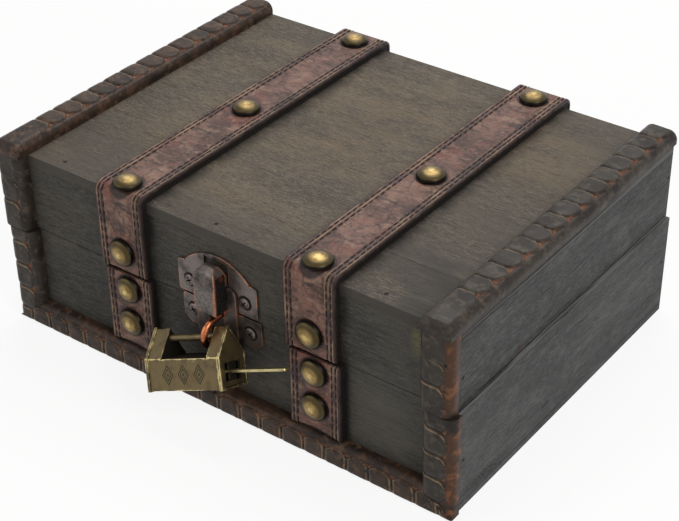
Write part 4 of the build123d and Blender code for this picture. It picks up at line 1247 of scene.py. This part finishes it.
class CHEST_OT_bands(bpy.types.Operator):
    """Lay the leather bands and sew their edges"""

    bl_idname = "chest.bands"
    bl_label = "Leather bands"

    def execute(self, context):
        tree = stitch_tree()
        heads = [spot for node in ("lid_studs", "base_studs") for spot, _ in fastener_places(node)]
        for node, kind in BAND_NODES.items():
            low, high = (Vector(corner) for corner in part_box(node))
            middle, half = (low.x + high.x) / 2, (high.x - low.x) / 2
            path = walked(band_path(node, kind), PATH_GAP)
            spots = []
            for head in heads:
                near = min(path, key=lambda item: math.dist(item[0], (head.y, head.z)))
                gap = math.dist(near[0], (head.y, head.z))
                if abs(head.x - middle) < MM and gap < 2.5 * MM:
                    spots.append(near[2])
            band = Band(kind, middle, half, path, spots)
            piece = new_piece("band_" + node, self.lay(node, band))
            hand_over(piece, node)
            piece = new_piece("stitches_" + node, self.rows(band))
            self.sew(piece, tree, context.scene.chest_sizes)
            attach(piece, body_for(node))
        return {"FINISHED"}

    def lay(self, node, band):
        """The leather, with its top pressed and its underside flat."""
        kind, middle, half, path, spots = band
        form = bmesh.new()
        run_map = form.loops.layers.uv.new("run")
        ring_layer = form.verts.layers.float.new("ring")
        rings, runs = [], {}
        for (y, z), (way_y, way_z), distance in path:
            top, under = [], []
            way = forward(path, distance)
            for index in range(BAND_STEPS + 1):
                across = -half + 2 * half * index / BAND_STEPS
                height, ring = band_height(distance, across, spots)
                back_off = 0.0
                for at_start, gone in ((True, distance), (False, path[-1][2] - distance)):
                    if gone < END_PULL:
                        share = 1 - gone / END_PULL
                        back_off += (1 if at_start else -1) * share * shaped_end(kind, at_start, across, half)
                        if gone < 1.0 * MM:
                            height -= END_PRESS * (1.0 - gone / MM)
                side = across
                if index in (0, BAND_STEPS):
                    nibble = 0.5 + 0.5 * chance.noise(Vector((distance * 450, across * 200, 4.0)))
                    side = across * (1 - NIBBLE * nibble / half)
                # the underside has a point below every fourth one of the top
                lines = ((height, top), (UNDER_LIFT, under)) if index % 4 == 0 else ((height, top),)
                for lift, line in lines:
                    y_at = y + way_y * lift + way[0] * back_off
                    z_at = z + way_z * lift + way[1] * back_off
                    vert = form.verts.new((middle + side, y_at, z_at))
                    runs[vert] = (distance, across)
                    line.append(vert)
                top[-1][ring_layer] = ring
            rings.append(top + list(reversed(under)))
        skin(form, rings)
        for face in form.faces:
            for loop in face.loops:
                loop[run_map].uv = runs[loop.vert]
        bmesh.ops.triangulate(form, faces=[face for face in form.faces if len(face.verts) > 4])
        bmesh.ops.recalc_face_normals(form, faces=form.faces)
        mesh = kept_in(bpy.data.meshes.new(node), form)
        mesh.materials.append(finish("leather"))
        smooth(mesh, 50.0)
        return mesh

    def rows(self, band):
        """The lines that the stitches follow, just over the leather."""
        kind, middle, half, path, spots = band
        verts, edges = [], []
        for row in STITCH_ROWS:
            for side in (-1, 1):
                first = len(verts)
                start = SEAM_END + shaped_end(kind, True, side * row, half)
                for (y, z), (way_y, way_z), distance in path:
                    if not start < distance < path[-1][2] - SEAM_END:
                        continue
                    height = band_height(distance, side * row, spots)[0] + THREAD_LIFT
                    weave = THREAD_LIFT * chance.noise(Vector((distance * 300, row * 900, side)))
                    place = (middle + side * row + weave, y + way_y * height, z + way_z * height)
                    verts.append(place)
                edges += [(i, i + 1) for i in range(first, len(verts) - 1)]
        mesh = bpy.data.meshes.new("stitches")
        mesh.from_pydata(verts, edges, [])
        return mesh

    def sew(self, piece, tree, sizes):
        values = {
            "Spacing": sizes.stitch_spacing,
            "Stitch length": sizes.stitch_length,
            "Thread": sizes.thread,
            "Finish": finish("stitch"),
        }
        made_by(tree, piece, values)
        smooth(piece.data, 80.0)


# Studs and screws, in millimetres: a stud's radius, its rolled rim as (radius, height), and its dome
STUD_RADIUS = 6.0
STUD_RIM = ((5.6, 0.0), (5.95, 0.1), (6.0, 0.3), (5.9, 0.5))
DOME_RADIUS, DOME_FOOT, DOME_RISE = 5.85, 0.5, 2.3
# The cross in a screw's head: its arms' length and half width to the head's radius, its floor to its height
CROSS_ARM, CROSS_HALF, CROSS_FLOOR = 0.66, 0.14, 0.3


def turned_piece(name, profile, segments):
    """A small piece turned round the Z axis from (radius, height) points that end on the axis."""
    form = bmesh.new()
    rings = []
    for radius, height in profile:
        turns = [math.tau * i / segments for i in range(segments)] if radius > 1e-7 else [0.0]
        rings.append([form.verts.new((radius * math.cos(t), radius * math.sin(t), height)) for t in turns])
    for first, second in zip(rings, rings[1:]):
        for i in range(segments):
            j = (i + 1) % segments
            a, b = len(first), len(second)
            ring = [first[i % a], first[j % a], second[j % b], second[i % b]]
            form.faces.new(list(dict.fromkeys(ring)))
    if len(rings[0]) > 1:
        form.faces.new(list(reversed(rings[0])))
    bmesh.ops.recalc_face_normals(form, faces=form.faces)
    return kept_in(bpy.data.meshes.new(name), form)


def loose_solids(node):
    """Each solid of a CAD node as its own list of corner points."""
    form = form_of(frame["nodes"][node].data)
    bmesh.ops.remove_doubles(form, verts=form.verts, dist=SAME_PLACE)
    seen, solids = set(), []
    # in the order of the node's points, so that each fastener draws the same turn in every run
    for start in form.verts:
        if start in seen:
            continue
        seen.add(start)
        todo, group = [start], []
        while todo:
            vert = todo.pop()
            group.append(vert.co.copy())
            for edge in vert.link_edges:
                other = edge.other_vert(vert)
                if other not in seen:
                    seen.add(other)
                    todo.append(other)
        solids.append(group)
    form.free()
    return solids


def fastener_places(node):
    """Where each fastener's head sits and which way it looks."""
    places = []
    for points in loose_solids(node):
        low = [min(p[i] for p in points) for i in range(3)]
        high = [max(p[i] for p in points) for i in range(3)]
        middle = Vector([(a + b) / 2 for a, b in zip(low, high)])
        size = [b - a for a, b in zip(low, high)]
        spans = [abs(size[(i + 1) % 3] - size[(i + 2) % 3]) for i in range(3)]
        axis = spans.index(min(spans))
        one, two = (axis + 1) % 3, (axis + 2) % 3
        # only the head's rim lies this far out
        reach = max(size[one], size[two]) * 0.49
        rim = [p[axis] for p in points if math.hypot(p[one] - middle[one], p[two] - middle[two]) > reach]
        way = 1.0 if sum(rim) / len(rim) > middle[axis] else -1.0
        spot = middle.copy()
        spot[axis] = min(rim) if way > 0 else max(rim)
        looking = Vector((0, 0, 0))
        looking[axis] = way
        places.append((spot, looking))
    return places


def points_piece(name, places):
    """A mesh of loose points, each with its turn stored."""
    mesh = bpy.data.meshes.new(name)
    mesh.from_pydata([tuple(spot) for spot, _ in places], [], [])
    turns = mesh.attributes.new("turn", "FLOAT_VECTOR", "POINT")
    for item, (_, looking) in zip(turns.data, places):
        item.vector = looking.to_track_quat("Z", "Y").to_euler()
    return new_piece(name, mesh)


def dome_mesh():
    """A low dome with a rolled rim, whose points store how far down they lie."""
    profile = list(STUD_RIM)
    for step in range(1, 17):
        turn = math.pi / 2 * step / 16
        radius = DOME_RADIUS * math.cos(turn) if step < 16 else 0.0
        profile.append((radius, DOME_FOOT + DOME_RISE * math.sin(turn) ** 0.95))
    mesh = turned_piece("dome", [(r * MM, h * MM) for r, h in profile], 48)
    low = mesh.attributes.new("low", "FLOAT", "POINT")
    for item, vert in zip(low.data, mesh.vertices):
        item.value = vert.co.xy.length / (STUD_RADIUS * MM)
    return mesh


def cross_outline(a, b):
    """The corners of a cross with arms of length a and half their width b, round from its right arm."""
    arm = [(a, -b), (a, b), (b, b)]
    corners = []
    for _ in range(4):
        corners += arm
        arm = [(-y, x) for x, y in arm]
    return corners


def cross_screw_mesh(radius, height):
    """A round-headed screw with a cross cut in its head."""
    profile = [(radius * 0.97, 0.0), (radius, height * 0.25)]
    for step in range(1, 9):
        turn = math.pi / 2 * step / 8
        out = radius * math.cos(turn) if step < 8 else 0.0
        profile.append((out, height * (0.25 + 0.75 * math.sin(turn))))
    head = new_piece("screw_head", turned_piece("screw_head", profile, 40))
    form = bmesh.new()
    outline = cross_outline(radius * CROSS_ARM, radius * CROSS_HALF)
    floor = [form.verts.new((x * 0.8, y * 0.8, height * CROSS_FLOOR)) for x, y in outline]
    roof = [form.verts.new((x, y, height * 1.5)) for x, y in outline]
    form.faces.new(list(reversed(floor)))
    form.faces.new(roof)
    for i in range(len(outline)):
        j = (i + 1) % len(outline)
        form.faces.new((floor[i], floor[j], roof[j], roof[i]))
    bmesh.ops.recalc_face_normals(form, faces=form.faces)
    cutter = new_piece("cross", kept_in(bpy.data.meshes.new("cross"), form))
    cut = head.modifiers.new("Cross", "BOOLEAN")
    cut.object = cutter
    cut.operation = "DIFFERENCE"
    cut.solver = "EXACT"
    settled(head)
    bpy.data.objects.remove(cutter)
    form = form_of(head.data)
    rub_layer = form.verts.layers.float.new("rub")
    dirt_and_shade_layer = form.verts.layers.float.new("dirt_and_shade")
    for vert in form.verts:
        out = vert.co.xy.length / radius
        sunk = vert.co.z < height * (CROSS_FLOOR + 0.02) and out < 0.7
        vert[rub_layer] = 0.0 if sunk else 0.55 * min(vert.co.z / height, 1.0)
        # painted shade: black in the cross and round the head's rim
        vert[dirt_and_shade_layer] = 1.0 if sunk or out > 0.96 else 0.0
    kept_in(head.data, form)
    return head


def set_fasteners(nodes, source, finish_name, spin, seed):
    """Set a copy of the source on every fastener of the nodes, and let the source go."""
    tree = bpy.data.node_groups.get("Set on points") or set_on_points_tree()
    values = {"Piece": source, "Size": 1.0, "Spin": spin, "Seed": seed, "Finish": finish(finish_name)}
    for node in nodes:
        piece = points_piece("set_" + node, fastener_places(node))
        made_by(tree, piece, values)
        smooth(piece.data, 32.0)
        hand_over(piece, node)
    bpy.data.objects.remove(source)


class CHEST_OT_studs(bpy.types.Operator):
    """Set the dome studs"""

    bl_idname = "chest.studs"
    bl_label = "Dome studs"

    def execute(self, context):
        dome = new_piece("dome", dome_mesh())
        set_fasteners(("lid_studs", "base_studs"), dome, "stud", math.tau, context.scene.chest_sizes.seed)
        return {"FINISHED"}


class CHEST_OT_screws(bpy.types.Operator):
    """Set the cross-headed screws"""

    bl_idname = "chest.screws"
    bl_label = "Screws"

    def execute(self, context):
        # the head's radius and height in millimetres, and how far a cross may be turned
        for nodes, radius, height, spin in (
            (("latch_upper_screws", "latch_lower_screws"), 2.5, 1.1, 1.2),
            (("hinge_lid_screws", "hinge_base_screws"), 1.7, 0.7, 1.5),
        ):
            screw = cross_screw_mesh(radius * MM, height * MM)
            set_fasteners(nodes, screw, "screw", spin, context.scene.chest_sizes.seed)
        return {"FINISHED"}


class CHEST_OT_boards(bpy.types.Operator):
    """Stain the boards and black the battens"""

    bl_idname = "chest.boards"
    bl_label = "Boards"

    def execute(self, context):
        for node in frame["nodes"]:
            slot = slot_for(node)
            if slot == "strap_batten":
                paint(node, "batten")
            elif slot == "board_wood":
                if node.endswith(("left", "right")):
                    paint(node, "end")
                elif node in ("lid_top", "base_bottom"):
                    paint(node, "top")
                else:
                    paint(node, "front")
        return {"FINISHED"}


class CHEST_OT_latch(bpy.types.Operator):
    """Round and rub the latch, its staple and the hinges"""

    bl_idname = "chest.latch"
    bl_label = "Latch and hinges"

    def execute(self, context):
        for part in ("upper", "lower"):
            shade_rings = [(spot, 2.9 * MM) for spot, _ in fastener_places(f"latch_{part}_screws")]
            worn_copy(f"latch_{part}_plate", "latch", 0.3, 0.55, 0.6, shade_rings=shade_rings)
        worn_copy("latch_hasp", "latch", 0.4, 0.75, 0.6, shade_of=hood_shade, bare_of=hood_bare)
        worn_copy("latch_staple", "copper", 0.05, 0.3, 1.0, name="wire_staple")
        for node in frame["nodes"]:
            if node.startswith("hinge_") and "leaf" in node:
                worn_copy(node, "latch", 0.15, 0.4, 0.9)
        paint("hinge_pins", "screw")
        paint("hasp_pin", "copper")
        return {"FINISHED"}


# The hood, in millimetres: how far forward its front face and its back lie, and half its width
HOOD_FRONT, HOOD_BACK, HOOD_HALF = 86.9, 81.4, 4.95
# The lock's bar rubs the hood in front of the first and to the right of the second
RUBBED_FRONT, RUBBED_RIGHT = 86.4, 3.6
# The padlock, in millimetres: its two posts' faces along it, and how high its walls begin
POSTS, WALL_FOOT = (-10.2, 11.5), 4.9
# Half the depth and height of its chamber, and half the depth of the floor between the posts and its top
CHAMBER, LOCK_FLOOR = (5.1, 3.7), (7.2, 6.6)
# Hands rub it past the first along and in front of the second, and in front of the third under the fourth
RUBBED_EDGE, RUBBED_TOP = (15.9, -7.3), (-7.5, 6.8)
# Where it hangs, how it is turned there, and how far along and up that lies from its front face's middle
LOCK_HANG = Vector((1.8, -87.35, 38.8)) * MM
LOCK_TURN = (
    Matrix.Rotation(math.radians(10.0), 3, "Z")
    @ Matrix.Rotation(math.radians(-20.0), 3, "Y")
    @ Matrix.Rotation(math.radians(-24.0), 3, "X")
)
LOCK_AXES = [axis.copy() for axis in LOCK_TURN.col]
HANG_ALONG, HANG_UP = 9.0 * MM, 13.3 * MM


def hood_shade(place):
    """Painted shade on the hood's sides and the strap behind them; the hood's front a little darker."""
    across, out = abs(place.x / MM - 0.1), -place.y / MM
    if out > HOOD_FRONT:
        return 0.4
    return 0.85 if across > HOOD_HALF and out > HOOD_BACK else 0.0


def hood_bare(place):
    """The lock's bar rubs the hood's right edge to copper."""
    across, out = place.x / MM, -place.y / MM
    rubbed = out > RUBBED_FRONT and across > RUBBED_RIGHT
    return min((across - RUBBED_RIGHT) * 0.8, 1.0) if rubbed else 0.0


def lock_shade(place):
    """Painted shade in the chamber, on the floor between the posts and on the posts' inner faces; the walls'
    edges stay unshaded.
    """
    along, back, up = (value / MM for value in on_lock(place))
    left, right = POSTS
    in_chamber = abs(back) < CHAMBER[0] and abs(up) < CHAMBER[1]
    between = left - 0.2 < along < right + 0.2
    on_floor = between and abs(back) < LOCK_FLOOR[0] and WALL_FOOT < up < LOCK_FLOOR[1]
    on_post = min(abs(along - left), abs(along - right)) < 0.2 and up > WALL_FOOT
    return 1.0 if in_chamber or on_floor or on_post else 0.0


def lock_bare(place):
    """Hands rub the padlock's front right edge and the front wall's top."""
    along, back, up = (value / MM for value in on_lock(place))
    right = along > RUBBED_EDGE[0] and back < RUBBED_EDGE[1]
    top = back < RUBBED_TOP[0] and WALL_FOOT < up < RUBBED_TOP[1]
    return 0.6 if right else 0.35 if top else 0.0


def on_lock(place):
    """A place on the padlock: along and up from its front face's middle, and backwards from its bar."""
    off = place - LOCK_HANG
    along, back, up = (off.dot(axis) for axis in LOCK_AXES)
    return (along + HANG_ALONG, back, up + HANG_UP)


class CHEST_OT_padlock(bpy.types.Operator):
    """Finish the padlock, its bolt and its key"""

    bl_idname = "chest.padlock"
    bl_label = "Padlock"

    def execute(self, context):
        of_lock = {"face_of": on_lock, "shade_of": lock_shade, "bare_of": lock_bare}
        for node, rounding in (("padlock_body", 0.3), ("padlock_key_plate", 0.2), ("padlock_bolt", 0.25)):
            worn_copy(node, "lock", rounding, 0.42, 0.8, **of_lock)
        worn_copy("padlock_key", "key", 0.15, 0.3, 0.8, name="worn_key")
        paint("padlock_springs", "spring")
        return {"FINISHED"}


# The floor, in metres
FLOOR_CORNERS = ((-1, -1), (1, -1), (1, 1), (-1, 1))
FLOOR_HALF, FLOOR_LEVEL = 4, -0.0002
# How much of its white the floor shows to seen rays, and the world's light on the object
FLOOR_GLOW, WORLD_LIGHT = 0.87, 0.3
# The lamps: name, place and size in metres, and watts; they face the place below
LAMPS = (
    ("key", (0.85, -0.3, 0.75), 0.5, 5.6),
    ("overhead", (-0.2, 0.45, 1.0), 0.7, 6.6),
    ("fill", (-0.7, -0.9, 0.6), 0.8, 2.8),
)
LIT_MIDDLE = Vector((0, 0, 0.03))
# The camera: place in metres, azimuth, elevation and roll in degrees, lens in millimetres
CAMERA_PLACE = (0.35165, -0.46665, 0.4207)
CAMERA_TURN = (37.152, 34.092, -0.902)
CAMERA_LENS = 88.48


def seen_ray(tree):
    """1 for a ray that shows the background: from the camera, or by way of metal or glass."""
    rays = add_node(tree, "ShaderNodeLightPath").outputs
    seen = rays["Is Camera Ray"]
    for ray in ("Is Glossy Ray", "Is Transmission Ray"):
        seen = add_node(tree, "ShaderNodeMath", {0: seen, 1: rays[ray]}, "Value", operation="MAXIMUM")
    return seen


class CHEST_OT_stage(bpy.types.Operator):
    """Set up the floor, the lamps, the world and the camera"""

    bl_idname = "chest.stage"
    bl_label = "Stage"

    def execute(self, context):
        scene = context.scene
        self.lay_floor()
        self.light(scene)
        self.set_camera(scene)
        scene.view_settings.view_transform = "Standard"
        return {"FINISHED"}

    def lay_floor(self):
        mesh = bpy.data.meshes.new("floor")
        corners = [(x * FLOOR_HALF, y * FLOOR_HALF, FLOOR_LEVEL) for x, y in FLOOR_CORNERS]
        mesh.from_pydata(corners, [], [(0, 1, 2, 3)])
        floor = new_piece("floor", mesh)
        material = bpy.data.materials.new("pale_floor")
        material.use_nodes = True
        tree = material.node_tree
        tree.nodes.clear()
        paper = add_node(tree, "ShaderNodeBsdfDiffuse", {"Color": linear("#f2f1ef")}, 0)
        glow = add_node(tree, "ShaderNodeEmission", {"Color": (1, 1, 1), "Strength": 1.0}, 0)
        shown = {0: seen_ray(tree), 1: FLOOR_GLOW}
        share = add_node(tree, "ShaderNodeMath", shown, "Value", operation="MULTIPLY")
        both = add_node(tree, "ShaderNodeMixShader", {0: share, 1: paper, 2: glow}, 0)
        add_node(tree, "ShaderNodeOutputMaterial", {"Surface": both})
        mesh.materials.append(material)

    def light(self, scene):
        scene.world = bpy.data.worlds.new("studio")
        scene.world.use_nodes = True
        tree = scene.world.node_tree
        tree.nodes.clear()
        span = {"Value": seen_ray(tree), "To Min": WORLD_LIGHT, "To Max": 1.0}
        strength = add_node(tree, "ShaderNodeMapRange", span, "Result")
        sky = add_node(tree, "ShaderNodeBackground", {"Color": (1, 1, 1), "Strength": strength}, 0)
        add_node(tree, "ShaderNodeOutputWorld", {"Surface": sky})
        for name, place, size, power in LAMPS:
            lamp = bpy.data.lights.new(name, "AREA")
            lamp.size = size
            lamp.energy = power
            holder = bpy.data.objects.new(name, lamp)
            holder.location = place
            holder.rotation_euler = (LIT_MIDDLE - Vector(place)).to_track_quat("-Z", "Y").to_euler()
            scene.collection.objects.link(holder)

    def set_camera(self, scene):
        azimuth, elevation, roll = (math.radians(value) for value in CAMERA_TURN)
        level = math.cos(elevation)
        back = Vector((math.sin(azimuth) * level, -math.cos(azimuth) * level, math.sin(elevation)))
        right = Vector((math.cos(azimuth), math.sin(azimuth), 0))
        up = back.cross(right)
        turned_right = right * math.cos(roll) + up * math.sin(roll)
        turned_up = -right * math.sin(roll) + up * math.cos(roll)
        lens = bpy.data.cameras.new("camera")
        lens.sensor_fit = "HORIZONTAL"
        lens.sensor_width = 36.0
        lens.lens = CAMERA_LENS
        lens.clip_start = 0.01
        camera = bpy.data.objects.new("camera", lens)
        axes = Matrix((turned_right, turned_up, back)).transposed().to_4x4()
        camera.matrix_world = Matrix.Translation(CAMERA_PLACE) @ axes
        scene.collection.objects.link(camera)
        scene.camera = camera


class CHEST_PT_panel(bpy.types.Panel):
    """Lists the chest's steps"""

    bl_label = "Treasure chest box"
    bl_idname = "CHEST_PT_panel"
    bl_space_type = "VIEW_3D"
    bl_region_type = "UI"
    bl_category = "Chest"

    def draw(self, context):
        for step in STEPS:
            self.layout.operator(step.bl_idname)
        for group in (context.scene.chest_sizes, context.scene.chest_colours):
            box = self.layout.box()
            for name in group.bl_rna.properties.keys():
                if name not in ("rna_type", "name"):
                    box.prop(group, name)


STEPS = (
    CHEST_OT_stage,
    CHEST_OT_boards,
    CHEST_OT_mouldings,
    CHEST_OT_bands,
    CHEST_OT_studs,
    CHEST_OT_latch,
    CHEST_OT_screws,
    CHEST_OT_padlock,
)
CLASSES = (ChestSizes, ChestColours, *STEPS, CHEST_PT_panel)


def register():
    for item in CLASSES:
        bpy.utils.register_class(item)
    bpy.types.Scene.chest_sizes = PointerProperty(type=ChestSizes)
    bpy.types.Scene.chest_colours = PointerProperty(type=ChestColours)


def unregister():
    del bpy.types.Scene.chest_colours
    del bpy.types.Scene.chest_sizes
    for item in reversed(CLASSES):
        bpy.utils.unregister_class(item)


def main():
    register()
    bpy.ops.chest.stage()
    bpy.ops.chest.boards()
    bpy.ops.chest.mouldings()
    bpy.ops.chest.bands()
    bpy.ops.chest.studs()
    bpy.ops.chest.latch()
    bpy.ops.chest.screws()
    bpy.ops.chest.padlock()
    bpy.context.view_layer.update()


if __name__ == "__main__":
    main()
